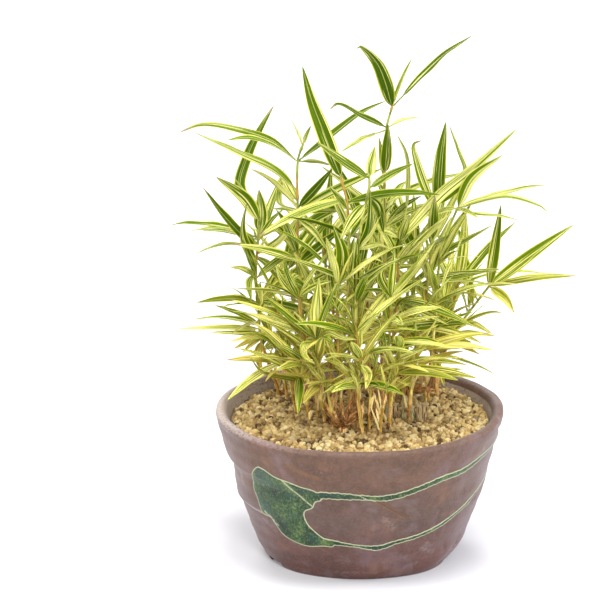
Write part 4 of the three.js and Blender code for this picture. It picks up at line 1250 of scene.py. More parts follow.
bowlShape = {
    "under": [[3, 0], [10, 0], [18, 0], [26, 0], [33, 0], [38, 0], [39.4, 0]],
    "outside": [
        [42.7, 0], [44.4, 3], [47, 8], [50.4, 17], [55, 30], [58.3, 43], [59.4, 46], [62.6, 56], [65, 65],
    ],
    "lip": [[64.8, 66.3], [64, 67], [62.7, 67.3], [61.5, 67], [60.6, 66.3], [60, 65.2]],
    "throat": [[59.4, 63], [58.6, 60.5]],
    "floor": [[43.5, 14], [36, 7], [20, 7], [4, 7]],
    "height": 67,
    "slowWave": [0.35, 3, 0.7],  # rise, number and start
    "slowWaveLip": 0.07,
    "handMarks": [0.14, 0.1, 0.08],
    "handFrom": 5,
    "handUpTo": [63, 67],
    "wallSlope": 1.06,  # way up the wall for each step of height
    "guess": [62, 15],  # radius, and height above the place seen, from which each round comes nearer
    "rounds": 12,
    "sides": 520,
    "samples": 600,
    "wallTop": 65,
    "wallRows": 128,
    "bendRows": 12,
    "footRound": [0.3, 0.8],  # depth and reach up
    "ledges": [[186, 0.6, 46, 56, 0.8], [182, 0.5, 26.8, 38, 0.9]],  # angle, spread, from, to, rise
    "ledgeStep": 1.2,
    "lipFrom": 63,
    "lipWaves": [[0.3, 4, 1], [0.22, 7, 2], [0.12, 15, 0]],  # rise, number and start
    "lipWavesOver": [63, 66],
    "lipMost": 0.35,
    "nick": [80, 0.06, 0.8],  # degrees from the front, reach and depth
    "nickOver": [61, 65],
    "drainAngles": [90, 202, 338],
    "drainAt": 18,
    "drainRadius": 4,
    "drainSides": 24,
    "drainCut": [1.5, 9.5],
    "channelAngles": [90, 210, 338],
    "channelWidth": 12,
    "channelDepth": 2.4,
    "channelReach": [12, 70],
    # The inside, the lip and the top of the wall are pale: dust, and partly painted light that lifts the
    # shade on the inner wall and lightens the left of the lip
    "paleSide": [-100, 0.9],  # the lip is palest there, partly painted light: degrees from the front and spread
    "dustAndLightInside": 0.55,
    "dustAndLightLip": [0.12, 0.5],  # everywhere, and more on the pale side
    "paleLipFrom": 64,
    "dustAndLightEdge": [0.04, 0.22],
    "paleEdgeOver": [63, 65],
    "wearAndLightMost": [-1.8, 1],
}

# Dents and swellings left by the hand: degrees round from the right, height, reach round and up, depth
dents = [
    [182, 44.5, 36, 4.5, -0.9],
    [3, 53, 30, 5, -0.7],
    [355, 31, 30, 6, 0.5],
    [336, 13, 15, 5, -0.9],
    [318, 6, 18, 3.5, 0.6],
    [350, 1, 22, 3, -1.4],
    [226, 1, 18, 3.5, 1.2],
    [312, 1, 18, 3.5, 1.2],
    [228, 14, 22, 7, 0.5],
    [262, 33, 25, 10, -0.5],
    [292, 50, 22, 8, 0.4],
    [60, 30, 35, 12, 0.6],
    [120, 40, 30, 10, -0.6],
]

# Grooves pressed in the clay, as they appear from the front: across, up, across, up, width, depth
creases = [
    [-52, 22.5, -43, 16.8, 1.1, 0.35],
    [-43, 16.8, -35, 13, 1.0, 0.25],
    [-27, 40, -17.3, 36.8, 0.8, -0.25],
    [-17.3, 36.8, -11.2, 32.8, 0.9, -0.2],
    [-2, 29, 21, 15, 0.9, 0.8],
    [-2, 20, 9, 10.5, 1.2, 0.18],
    [56, 33, 50, 23, 1.2, 0.3],
    [60, 60, 66, 57, 1.6, 0.6],
    [44, 3, 36, -6.5, 1.2, 0.4],
    [24, -4.5, 38, 1, 1.6, 0.35],
    [-24, 8, -8, -2, 1.3, 0.16],
]

# Worn and smeared places and painted shade, in the same way, with a strength: pale above 0, rusty below,
# grimy from -0.7, which along the deep pressed crease is painted shade
wearAndShadeMarks = [
    [-52, 22.5, -44, 17.4, 0.7, 0.6],
    [-43, 16.8, -35, 13, 0.7, 0.3],
    [-32.5, 40.3, -26.5, 36.8, 1.5, -0.8],
    [-24, 35.5, -18.5, 34, 1.4, -0.7],
    [-27, 40, -17.3, 36.8, 0.8, 0.13],
    [-17.3, 36.8, -11.2, 32.8, 0.9, 0.11],
    # painted shade: a grimy dark line along the deep pressed crease, over its rusty smear
    [-2, 29, 21, 15, 0.7, -1.5],
    [0, 48, 26, 45, 3.5, -0.4],
    [14, 33, 30, 35, 2.5, -0.35],
    [28.5, 0.8, 32.5, -1.2, 2.4, 0.24],
    [30, 3.5, 33, 2, 1.2, 0.2],
    [11, 14.5, 15, 10.5, 3, 0.2],
    [20, -8.4, 26, -6.2, 1.6, 0.2],
    [-11, -10.5, 7, -11.2, 1.6, 0.17],
    [44, 2, 38, -5, 1.2, 0.3],
    [50, 40, 56, 48, 2.5, 0.25],
    [-56, 40, -53, 32, 2, 0.3],
    [-60, 56, -58, 47, 3.2, 0.2],
    [-44, 15, -38, 9, 2.6, 0.2],
]

# Glaze, as it appears from the front. patch is the outline of the poured field, and each trail is [across,
# up, width] along its middle. Beyond the right edge it goes on as [angle round, height, width].
glazeShape = {
    "patch": [
        [-45.7, 39.6], [-43.1, 38.2], [-38.6, 34.9], [-31.5, 32.1], [-27, 30.2], [-19.9, 27.8],
        [-17.3, 23.6], [-19.9, 22.7], [-21.3, 19.9], [-24.8, 18], [-23.9, 13.3], [-19.9, 8.6],
        [-16.4, 5.8], [-12, 4.4], [-12, 1.4], [-16.4, 1.6], [-23.5, 1.6], [-29.7, 3.9], [-35.1, 7.7],
        [-37.7, 11.4], [-40.4, 15.2], [-43.9, 17], [-45.7, 22.7], [-48, 31.1], [-48.4, 36.7],
    ],
    "upper": [
        [-22, 26, 4.2], [-16.4, 26, 4.2], [-7.5, 25.5, 4], [0.5, 25, 3], [3, 24.8, 2.7],
        [8.6, 24.5, 3.4], [17.5, 26, 3.5], [26.3, 29.2, 3.4], [37, 33.9, 3.3], [46.4, 37.7, 3.1],
        [54.8, 44.3, 2.7], [60.1, 49.9, 2.4],
    ],
    "upperBeyond": [[86, 58, 2.2], [98, 61.4, 2], [108, 64.4, 1.8], [115, 67, 1.5]],
    "lower": [
        [-16, 4, 3.4], [-12.8, 3.6, 3], [-2.1, 1.9, 1.9], [6.8, 0.9, 3], [10.5, 1.6, 2.8],
        [15.7, 3.5, 2.4], [26.3, 6.7, 2.3], [37, 12.3, 2.3], [46.4, 20.3, 2.1], [53.6, 29.2, 2],
        [57.9, 36.7, 1.8],
    ],
    "lowerBeyond": [
        [101, 41.6, 1.8], [116, 47.6, 1.7], [130, 54.6, 1.6], [142, 61.5, 1.5], [149, 67, 1.4],
    ],
    "scratches": [  # with their width
        [-35.9, 33.9, -20.8, 20.3, 1.2],
        [-0.4, 26, 5, 22.7, 1],
        [-42.8, 18.2, -41.7, 16.8, 1.5],
        [-41, 16.6, -39.6, 14.9, 1.2],
        [-38.9, 14.1, -38.1, 12.3, 1.6],
        [-37.4, 12.4, -36.6, 11.4, 1],
    ],
    "scratchReach": 0.5,
    "raise": 0.28,
    "raiseOver": [-0.1, 0.9],  # depths inside the outline
    "raiseAtScratch": 0.4,
    "patchSteps": 260,
    "trailSteps": 300,
    "trailWobble": [0.12, 1.7, 0.63],
    "seenFrom": -1.35,
    "seenTo": 2.8,
    "marksTo": 1.55,
    "far": 9.0,  # the most that a depth or distance is kept as
    "depthShift": 10.0,  # keeps the values of the tone attribute above 0
    "wearAndLightShift": 2.0,
}


def denseOutside():  # radii and heights of the outside profile, close together
    places = lineAt(smoothLine(bowlShape["outside"]), np.linspace(0, 1, bowlShape["samples"]))
    return places[:, 0], places[:, 1]


outsideRadii, outsideHeights = denseOutside()

def bowlRadius(turn, z):  # turn is the angle round the bowl from its front, to the right
    # radius(turn, z) = profile(z) + slow wave + ledges on the left + dents + marks of the potter's hand,
    # where a dent is depth·exp(−(turn away ÷ reach round)² − (height away ÷ reach up)²)
    angle = np.mod(turn - math.pi / 2, 2 * math.pi)
    rise, number, start = bowlShape["slowWave"]
    wave = rise * np.sin(number * angle + start) * np.sin(math.pi * z / bowlShape["height"])
    for middle, spread, low, high, rise in bowlShape["ledges"]:
        near = np.exp(-(((angle - math.radians(middle)) / spread) ** 2))
        top = low + bowlShape["ledgeStep"]
        wave = wave + rise * near * smooth(low, top, z) * (1 - smooth(top, high, z))
    for middle, height, reachRound, reachUp, depth in dents:
        away = np.mod(angle - math.radians(middle) + math.pi, 2 * math.pi) - math.pi
        aside = away / math.radians(reachRound)
        wave = wave + depth * np.exp(-(aside**2) - ((z - height) / reachUp) ** 2)
    first, second, third = bowlShape["handMarks"]
    hand = first * np.sin(7 * angle + 0.16 * z + 1)
    hand = hand + second * np.sin(13 * angle - 0.31 * z) * np.sin(0.21 * z + angle)
    hand = hand + third * np.sin(0.95 * z + 2 * np.sin(2 * angle))
    fade = smooth(0, bowlShape["handFrom"], z) * (1 - smooth(*bowlShape["handUpTo"], z))
    return np.interp(z, outsideHeights, outsideRadii) + wave + hand * fade


def onFront(across, up):  # the turn and height on the bowl of a place as it appears from the front
    across, up = np.asarray(across, float), np.asarray(up, float)
    guessRadius, guessUp = bowlShape["guess"]
    z = up + guessUp
    for i in range(bowlShape["rounds"]):
        radius = bowlRadius(np.arcsin(np.clip(across / guessRadius, -1, 1)), z)
        turn = np.arcsin(np.clip(across / radius, -0.999, 0.999))
        radius = bowlRadius(turn, z)
        z = up + viewSlope * radius * np.cos(turn)
    return turn, z


def unroll(turn, z):  # flat distances over the wall: round it, and up its slope
    radius = np.interp(z, outsideHeights, outsideRadii)
    return np.stack([turn * radius, z * bowlShape["wallSlope"]], -1)


def toSegments(places, starts, ends):  # the least distance to any of the segments, and its number
    way = ends - starts
    share = np.einsum("ijk,jk->ij", places[:, None] - starts[None], way) / (way**2).sum(1)
    share = np.clip(share, 0, 1)
    apart = np.linalg.norm(places[:, None] - (starts[None] + share[..., None] * way[None]), axis=-1)
    return apart.min(1), apart.argmin(1)


def patchDepth(places):  # how deep inside the poured field's outline, negative outside
    corners = np.array(glazeShape["patch"])
    outline = unroll(*onFront(corners[:, 0], corners[:, 1]))
    outline = smoothLoop(outline)
    after = np.roll(outline, -1, 0)
    apart = toSegments(places, outline, after)[0]
    x, y = places[:, None, 0], places[:, None, 1]
    crosses = (outline[None, :, 1] > y) != (after[None, :, 1] > y)
    slope = (after[:, 0] - outline[:, 0]) / (after[:, 1] - outline[:, 1] + 1e-9)
    at = outline[:, 0] + (y - outline[:, 1]) * slope
    inside = (crosses & (x < at)).sum(1) % 2 == 1
    return np.where(inside, apart, -apart)


def smoothLoop(corners):  # a closed outline rounded at its corners
    closed = np.concatenate([corners, corners[:2]])
    line = smoothLine(closed)
    t = np.linspace(0, 1, glazeShape["patchSteps"]) * line["knots"][-2] / line["knots"][-1]
    return lineAt(line, t)[:-1]


def trailDepth(places, seen, beyond):  # how deep inside a trail, negative outside
    seen, beyond = np.array(seen, float), np.array(beyond, float)
    turn, z = onFront(seen[:, 0], seen[:, 1])
    turn = np.concatenate([turn, np.radians(beyond[:, 0])])
    z = np.concatenate([z, beyond[:, 1]])
    width = np.concatenate([seen[:, 2], beyond[:, 2]])
    line = smoothLine(np.column_stack([unroll(turn, z), width]))
    dense = lineAt(line, np.linspace(0, 1, glazeShape["trailSteps"]))
    apart, nearest = toSegments(places, dense[:-1, :2], dense[1:, :2])
    share, quick, slow = glazeShape["trailWobble"]
    wobble = 1 + share * np.sin(places[:, 0] * quick) * np.sin(places[:, 0] * slow + 1)
    return dense[nearest, 2] / 2 * wobble - apart


def glazeMaps(turn, z):  # depth inside the glaze, and distance to the pale scratches in it
    shape = glazeShape
    depth = np.full(turn.shape, -shape["far"])
    scratch = np.full(turn.shape, shape["far"])
    near = (turn > shape["seenFrom"]) & (turn < shape["seenTo"])
    places = unroll(turn[near], z[near])
    parts = [patchDepth(places)]
    parts += [trailDepth(places, shape[key], shape[key + "Beyond"]) for key in ("upper", "lower")]
    depth[near] = np.clip(np.max(parts, axis=0), -shape["far"], shape["far"])
    for x0, up0, x1, up1, width in shape["scratches"]:
        ends = unroll(*onFront([x0, x1], [up0, up1]))
        scratch[near] = np.minimum(scratch[near], toSegments(places, ends[:1], ends[1:])[0] / width)
    return depth, scratch


def strokes(marks, turn, z):  # the sum of the marks, each exp(−(distance ÷ width)²)·strength
    total = np.zeros(turn.shape)
    near = np.abs(turn) < glazeShape["marksTo"]
    places = unroll(turn[near], z[near])
    for x0, up0, x1, up1, width, strength in marks:
        ends = unroll(*onFront([x0, x1], [up0, up1]))
        apart = toSegments(places, ends[:1], ends[1:])[0]
        total[near] += strength * np.exp(-((apart / width) ** 2))
    return total


def bowlProfile():  # from the middle of the underside up the wall, over the lip and down to the floor
    shape = bowlShape
    heights = np.linspace(0, shape["wallTop"], shape["wallRows"])
    wall = np.column_stack([np.interp(heights, outsideHeights, outsideRadii), heights])
    t = np.linspace(0, 1, shape["bendRows"])
    lip = lineAt(smoothLine(shape["lip"]), t)
    throat = lineAt(smoothLine(shape["lip"][-1:] + shape["throat"]), t)[1:]
    profile = np.concatenate([shape["under"], wall, lip, throat, shape["floor"]])
    row = np.arange(len(profile))
    start, end = len(shape["under"]), len(shape["under"]) + len(wall)
    return profile[:, 0], profile[:, 1], (row >= start) & (row < end), row >= end


def makeBowl():
    # point(row, turn) = (r·sin turn, −r·cos turn, z), where r and z follow the profile, and on the wall
    # r = radius(turn, z) − creases + raised glaze − rounding of the foot
    shape, glaze = bowlShape, glazeShape
    radii, heights, isWall, isPastWall = bowlProfile()
    turn = evenAngles(shape["sides"])
    turn = np.where(turn > math.pi, turn - 2 * math.pi, turn)
    turns, zs = np.meshgrid(turn, heights)
    r = np.repeat(radii[:, None], len(turn), 1)
    wallTurns, wallZs = turns[isWall], zs[isWall]
    depth = np.full(r.shape, -glaze["far"])
    scratch = np.full(r.shape, glaze["far"])
    depth[isWall], scratch[isWall] = glazeMaps(wallTurns, wallZs)
    scratched = np.exp(-((scratch[isWall] / glaze["scratchReach"]) ** 2))
    lower = 1 - (1 - glaze["raiseAtScratch"]) * scratched
    raised = glaze["raise"] * smooth(*glaze["raiseOver"], depth[isWall]) * lower
    foot = shape["footRound"][0] * np.exp(-wallZs / shape["footRound"][1])
    r[isWall] = bowlRadius(wallTurns, wallZs) - strokes(creases, wallTurns, wallZs) + raised - foot
    isLip = isPastWall & (heights > shape["lipFrom"])
    wobble = sum(rise * np.sin(number * turn + start) for rise, number, start in shape["lipWaves"])
    wobble = np.minimum(wobble, shape["lipMost"])
    zs[isLip] += wobble * smooth(*shape["lipWavesOver"], heights[isLip])[:, None]
    nickAt, nickReach, nickDepth = shape["nick"]
    nick = nickDepth * np.exp(-(((turn - math.radians(nickAt)) / nickReach) ** 2))
    nick = nick * smooth(*shape["nickOver"], r[isLip])
    number, start = shape["slowWave"][1:]
    r[isLip] += shape["slowWaveLip"] * np.sin(number * (turn - math.pi / 2) + start) - nick
    rings = np.stack([r * np.sin(turns), -r * np.cos(turns), zs], -1)
    uv = gridUv((turns / (2 * math.pi)) % 1, np.linspace(0, 1, len(radii))[:, None])
    # paleness of the inside, lip and top edge: dust, and partly painted light; the marks on the wall are
    # wear, rust, grime and painted shade in the crease
    left = np.exp(-(((turn - math.radians(shape["paleSide"][0])) / shape["paleSide"][1]) ** 2))
    wearAndPaintedLight = np.full(r.shape, shape["dustAndLightInside"])
    isPaleLip = isPastWall & (heights > shape["paleLipFrom"])
    wearAndPaintedLight[isPaleLip] = (shape["dustAndLightLip"][0] + shape["dustAndLightLip"][1] * left)[None]
    wearAndPaintedLight[isWall] = np.clip(strokes(wearAndShadeMarks, wallTurns, wallZs), *shape["wearAndLightMost"])
    edge = (shape["dustAndLightEdge"][0] + shape["dustAndLightEdge"][1] * left)[None]
    wearAndPaintedLight[isWall] += edge * smooth(*shape["paleEdgeOver"], wallZs)
    tone = np.stack([depth + glaze["depthShift"], scratch, wearAndPaintedLight + glaze["wearAndLightShift"]], -1)
    part = tubePart(rings, [0, 0, 0], [0, 0, shape["floor"][-1][1]], uv, tone)
    bowl = makePiece("bowl", [part], [makeClayMaterial()], ["pot"], sharp=55)
    cutDrains(bowl)
    return bowl


def turnRound(points, degrees):  # about the upright axis
    turn = math.radians(degrees)
    spin = [[math.cos(turn), math.sin(turn), 0], [-math.sin(turn), math.cos(turn), 0], [0, 0, 1]]
    return points @ np.array(spin)


def channelCutter(angle):  # a box across the underside, from near the middle to beyond the wall
    half, deep = bowlShape["channelWidth"] / 2, bowlShape["channelDepth"]
    corners = np.meshgrid(bowlShape["channelReach"], [-half, half], [-deep, deep], indexing="ij")
    faces = [[0, 1, 3, 2], [4, 6, 7, 5], [0, 4, 5, 1], [2, 3, 7, 6], [0, 2, 6, 4], [1, 5, 7, 3]]
    return turnRound(np.stack(corners, -1).reshape(-1, 3), angle), faces


def holeCutter(angle):  # a post from inside the channel to above the floor
    sides = bowlShape["drainSides"]
    a = evenAngles(sides)
    turn = math.radians(angle)
    middle = bowlShape["drainAt"] * np.array([math.cos(turn), math.sin(turn)])
    ring = bowlShape["drainRadius"] * np.stack([np.cos(a), np.sin(a)], -1) + middle
    rings = [np.column_stack([ring, np.full(sides, z)]) for z in bowlShape["drainCut"]]
    poles = [[*middle, z] for z in bowlShape["drainCut"]]
    quads, triangles = tubeFaces(2, sides)
    return np.concatenate([*rings, poles]), quads.tolist() + triangles.tolist()


def cutDrains(bowl):
    cutters = [channelCutter(angle) for angle in bowlShape["channelAngles"]]
    cutters += [holeCutter(angle) for angle in bowlShape["drainAngles"]]
    for points, faces in cutters:
        cutter = addObject("cutter", newMesh("cutter", (points * millimetre).tolist(), faces))
        cut = bowl.modifiers.new("drain", "BOOLEAN")
        cut.operation = "DIFFERENCE"
        cut.solver = "MANIFOLD"
        cut.object = cutter
        graph = bpy.context.evaluated_depsgraph_get()
        carved = bpy.data.meshes.new_from_object(bowl.evaluated_get(graph))
        bowl.modifiers.clear()
        bowl.data = carved
        bpy.data.objects.remove(cutter)


def makeClayMaterial():
    material, tree, shader = newMaterial("clayAndGlaze", 0.6, {"Specular IOR Level": 0.34})
    shifted, scratch, shiftedWearAndLight = toneOf(tree)
    depth = addMath(tree, (-1100, 400), "SUBTRACT", shifted, glazeShape["depthShift"])
    wearAndPaintedLight = addMath(tree, (-1100, 300), "SUBTRACT", shiftedWearAndLight, glazeShape["wearAndLightShift"])
    clay = addMottle(tree, (-1100, 0), 38.0, 800.0, (1.0, 1.0, 1.4))
    smears = addMottle(tree, (-1100, -300), 80.0, 2600.0, (0.75, 0.75, 1.3))
    patches = addMottle(tree, (-1100, -600), 52.0, 250.0, (1.2, 1.2, 0.8))
    zones = [(0.0, (0.125, 0.056, 0.045)), (0.45, (0.122, 0.074, 0.06)), (1.0, (0.142, 0.077, 0.05))]
    base = addRamp(tree, (-900, 200), zones, heightOf(tree, 0.004, 0.06))
    shades = [(0.3, (0.62, 0.61, 0.61)), (0.5, (0.77, 0.76, 0.76)), (0.7, (0.92, 0.91, 0.91))]
    shade = addRamp(tree, (-900, -50), shades, clay["Broad"])
    base = addMix(tree, (-700, 150), 1.0, base, shade, "MULTIPLY")
    warm, lilac = (0.19, 0.092, 0.05), (0.165, 0.105, 0.115)
    base = addLayer(tree, (-500, 100), base, warm, smears["Broad"], 0.55, 0.7, 0.4)
    base = addLayer(tree, (-450, 100), base, lilac, patches["Broad"], 0.52, 0.66, 0.45)
    uneven = [(0.36, (0.88, 0.87, 0.87)), (0.5, (1.0, 1.0, 1.0)), (0.64, (1.12, 1.1, 1.09))]
    spots = addRamp(tree, (-900, -500), uneven, patches["Fine"])
    base = addMix(tree, (-430, 100), 1.0, base, spots, "MULTIPLY")
    hazy, fleck, dark = (0.15, 0.11, 0.108), (0.17, 0.115, 0.1), (0.06, 0.034, 0.03)
    base = addLayer(tree, (-400, 100), base, hazy, smears["Broad"], 0.46, 0.34, 0.35)
    base = addLayer(tree, (-300, 100), base, fleck, clay["Fine"], 0.45, 0.62, 0.2)
    specks = addMath(tree, (-500, -500), "MULTIPLY", clay["Specks"], 0.2)
    base = addMix(tree, (-200, 100), specks, base, dark)
    patchy = addRange(tree, (-950, -800), clay["Fine"], 0.3, 0.6, 0.5, 1.2)
    broken = addMath(tree, (-800, -700), "MULTIPLY", wearAndPaintedLight, patchy)
    # pale tones of dust and wear, which on the inside and the lip are partly painted light
    dust = [(0.0, (0.3, 0.245, 0.235)), (0.5, (0.36, 0.3, 0.26)), (1.0, (0.55, 0.43, 0.29))]
    pale = addRamp(tree, (-500, -900), dust, wearAndPaintedLight)
    rusty, grimeAndCreaseShade = (0.165, 0.082, 0.042), (0.075, 0.045, 0.032)
    base = addLayer(tree, (-50, 100), base, pale, broken, 0.08, 0.6, 0.85)
    base = addLayer(tree, (100, 100), base, rusty, broken, -0.1, -0.7, 0.7)
    # from -0.7 a grimy dark: painted shade along the deep pressed crease, and grime in the darkest smears
    base = addLayer(tree, (140, 100), base, grimeAndCreaseShade, broken, -0.7, -1.2, 0.6)
    # painted sheen: where the clay faces away from the camera it turns pale lilac-grey, a reflection of the
    # pale room painted into the colour
    grazingSheen = addNode(tree, "ShaderNodeLayerWeight", (100, -300), {"Blend": 0.4}).outputs["Facing"]
    base = addLayer(tree, (180, 100), base, (0.3, 0.25, 0.26), grazingSheen, 0.35, 1.0, 0.55)
    pour = addMottle(tree, (-1100, 700), 130.0, 1000.0, (1.0, 1.0, 0.7))
    tones = [
        (0.38, (0.004, 0.016, 0.006)),
        (0.47, (0.014, 0.042, 0.013)),
        (0.54, (0.04, 0.08, 0.02)),
        (0.64, (0.12, 0.175, 0.05)),
    ]
    coarse = addMath(tree, (-950, 600), "MULTIPLY", pour["Broad"], 0.5)
    mixed = addMath(tree, (-850, 600), "MULTIPLY_ADD", pour["Fine"], 0.5, coarse)
    green = addRamp(tree, (-700, 700), tones, mixed)
    green = addLayer(tree, (-500, 700), green, (0.016, 0.05, 0.04), smears["Broad"], 0.5, 0.62, 0.5)
    white = addMath(tree, (-700, 1000), "MULTIPLY", pour["Specks"], 0.22)
    green = addMix(tree, (-350, 700), white, green, (0.5, 0.52, 0.42))
    ragged = addMath(tree, (-850, 450), "SUBTRACT", pour["Fine"], 0.5)
    fromRim = addMath(tree, (-600, 450), "MULTIPLY_ADD", ragged, 0.8, depth)
    rim = addRange(tree, (-500, 450), fromRim, 0.72, 0.3, 0, 0.9)
    fromScratch = addMath(tree, (-600, 900), "MULTIPLY_ADD", ragged, 0.8, scratch)
    line = addRange(tree, (-500, 900), fromScratch, 0.5, 0.15, 0, 0.75)
    lit = addMath(tree, (-300, 600), "MAXIMUM", rim, line)
    green = addMix(tree, (-150, 650), lit, green, (0.42, 0.43, 0.27))
    glazed = addRange(tree, (-300, 350), depth, -0.12, 0.12)
    tree.links.new(addMix(tree, (250, 300), glazed, base, green), shader.inputs["Base Color"])
    tree.links.new(addRange(tree, (0, -100), depth, 0, 0.7, 0.6, 0.34), shader.inputs["Roughness"])
    soft = addMath(tree, (-500, -200), "SUBTRACT", 1.15, glazed)
    relief = addMath(tree, (-300, -200), "MULTIPLY_ADD", clay["Fine"], soft, smears["Broad"])
    bumpFrom(tree, relief, 0.4, 0.0005, shader)
    return material


makeBowl()
print("bowl made")


# Gravel: a bed that fills the bowl and a few thousand grains lying on it

gravelShape = {
    "edge": 62.2,
    "mound": 1.8,
    "radius": 58,
    "bedDrop": 1.6,
    "bedRadii": [3, 8, 14, 20, 26, 32, 38, 44, 49, 53, 56.5, 58.1],
    "bedBelow": [[52.8, 46], [44, 20], [10, 8]],  # radius and height of the rings under the top
    "bedSides": 120,
    "grains": 2350,
    "grainRows": 5,
    "grainSides": 8,
    "size": [2.0, 4.5],
    "sizeDraw": [2, 2.6],  # of the beta distribution that the sizes are drawn from
    "spiralTo": 58.2,  # less half a grain's size, as for wallAt
    "wallAt": 58.3,
    "sunk": 0.35,
    "stray": 0.7,
    "turnStray": 0.02,
    "lumps": [-0.3, 0.2],
    "flattest": [0.85, 0.75, 0.6],
    "roundest": [1.2, 1.1, 0.95],
    "litter": [2, 5.5, 0.4],  # brown litter lies among the stems: from, to and the least tone
    "seed": 58,
}


def bedHeight(x, y):  # edge + mound·(1 − (r ÷ radius)⁴) + low waves
    share = np.hypot(x, y) / gravelShape["radius"]
    waves = 0.5 * np.sin(x / 5 + 1) * np.sin(y / 6) + 0.3 * np.sin(x / 2.7 + y / 3.1)
    return gravelShape["edge"] + gravelShape["mound"] * (1 - share**4) + waves * (1 - share**8)


def makeGravelBed():
    # ring(i, a) = (radius(i)·cos a, −radius(i)·sin a, bedHeight − drop), then plain rings to the floor
    shape = gravelShape
    below = np.array(shape["bedBelow"])
    radii = np.concatenate([shape["bedRadii"], below[:, 0]])
    a = evenAngles(shape["bedSides"])
    x, y = radii[:, None] * np.cos(a), radii[:, None] * np.sin(a)
    z = bedHeight(x, y) - shape["bedDrop"]
    z[-len(below):] = below[:, 1:]
    rings = np.stack([x, -y, z], -1)
    uv = gridUv(a / (2 * math.pi), radii[:, None] / shape["radius"])
    # the bed's tone of 0.3 makes it darker than most grains: painted shade in the gaps between them
    tone = np.full((*x.shape, 3), 0.3)
    part = tubePart(rings, [0, 0, z[0, 0]], [0, 0, below[-1, 1]], uv, tone)
    return makePiece("gravelBed", [part], [gravelMaterial], ["gravel"], sharp=60)


def makeSphere(rows, around):  # rings of a ball of radius 1 from its lowest point up, and its two poles
    a = evenAngles(around)
    down = math.pi * (np.arange(rows) + 1) / (rows + 1)
    circles = [np.outer(np.sin(down), np.cos(a)), np.outer(np.sin(down), np.sin(a))]
    rings = np.stack(circles + [np.outer(-np.cos(down), np.ones(around))], -1)
    return np.concatenate([rings.reshape(-1, 3), [[0, 0, -1], [0, 0, 1]]])


def makeGrains():
    # grain(i, j) = centre + turn·(radii·sphere(i, j)·(1 + lump)), with the centres a little astray from a
    # spiral of the golden angle
    shape = gravelShape
    draws = np.random.default_rng(shape["seed"])
    count = shape["grains"]
    least, most = shape["size"]
    size = least + (most - least) * draws.beta(*shape["sizeDraw"], count)
    radius = (shape["spiralTo"] - size / 2) * np.sqrt((np.arange(count) + 0.5) / count)
    stray, turnStray = shape["stray"], shape["turnStray"]
    goldenAngle = math.pi * (3 - math.sqrt(5))
    angle = (np.arange(count) + 0.5) * goldenAngle + draws.uniform(-turnStray, turnStray, count)
    x = radius * np.cos(angle) + draws.uniform(-stray, stray, count)
    y = radius * np.sin(angle) + draws.uniform(-stray, stray, count)
    over = np.minimum(1, (shape["wallAt"] - size / 2) / np.hypot(x, y))
    x, y = x * over, y * over
    z = bedHeight(x, y) - shape["sunk"] * size + draws.uniform(-stray, stray, count)
    sphere = makeSphere(shape["grainRows"], shape["grainSides"])
    lumps = 1 + draws.uniform(*shape["lumps"], (count, len(sphere)))
    radii = size[:, None] / 2 * draws.uniform(shape["flattest"], shape["roundest"], (count, 3))
    local = sphere[None] * lumps[..., None] * radii[:, None]
    turns = np.linalg.qr(draws.normal(size=(count, 3, 3)))[0]
    turns[:, :, 0] *= np.sign(np.linalg.det(turns))[:, None]
    points = np.einsum("nij,nkj->nki", turns, local) + np.stack([x, y, z], -1)[:, None]
    quads, triangles = tubeFaces(shape["grainRows"], shape["grainSides"])
    starts = (np.arange(count) * len(sphere))[:, None, None]
    tones = draws.uniform(size=(3, count)).T
    roots = np.array([stem["root"] for stem in stems])
    fromStems = np.hypot(x[:, None] - roots[:, 0], y[:, None] - roots[:, 1]).min(1)
    low, high, least = shape["litter"]
    tones[:, 0] *= least + (1 - least) * smooth(low, high, fromStems)
    part = {
        "points": points.reshape(-1, 3),
        "quads": (quads[None] + starts).reshape(-1, 4),
        "triangles": (triangles[None] + starts).reshape(-1, 3),
        "uv": np.tile(sphere[:, :2] / 2 + 0.5, (count, 1)),
        "tone": np.repeat(tones, len(sphere), 0),
        "material": 0,
    }
    return makePiece("gravelGrains", [part], [gravelMaterial], ["gravel"], sharp=32)


def makeGravelMaterial():
    material, tree, shader = newMaterial("gravelGrains", 0.85, {"Specular IOR Level": 0.3})
    first, second, third = toneOf(tree)
    rough = addMottle(tree, (-1100, -100), 700.0, 2600.0)
    uneven = addMath(tree, (-900, 0), "SUBTRACT", rough["Broad"], 0.5)
    place = addMath(tree, (-900, 300), "MULTIPLY_ADD", uneven, 0.5, first)
    tones = [
        (0.0, (0.055, 0.028, 0.009)),
        (0.15, (0.29, 0.18, 0.06)),
        (0.45, (0.475, 0.335, 0.125)),
        (0.78, (0.62, 0.46, 0.2)),
        (1.0, (0.72, 0.59, 0.31)),
    ]
    colour = addRamp(tree, (-600, 300), tones, place)
    grey, rust, dark = (0.3, 0.26, 0.17), (0.5, 0.29, 0.1), (0.2, 0.13, 0.05)
    colour = addLayer(tree, (-300, 200), colour, grey, second, 0.93, 0.96, 0.5)
    colour = addLayer(tree, (-100, 200), colour, rust, third, 0.94, 0.97, 0.4)
    pits = addMath(tree, (-300, -200), "MULTIPLY", rough["Specks"], 0.45)
    colour = addMix(tree, (50, 200), pits, colour, dark)
    tree.links.new(colour, shader.inputs["Base Color"])
    bumpFrom(tree, rough["Fine"], 0.7, 0.0007, shader)
    return material


gravelMaterial = makeGravelMaterial()
makeGravelBed()
makeGrains()
print("gravel made")


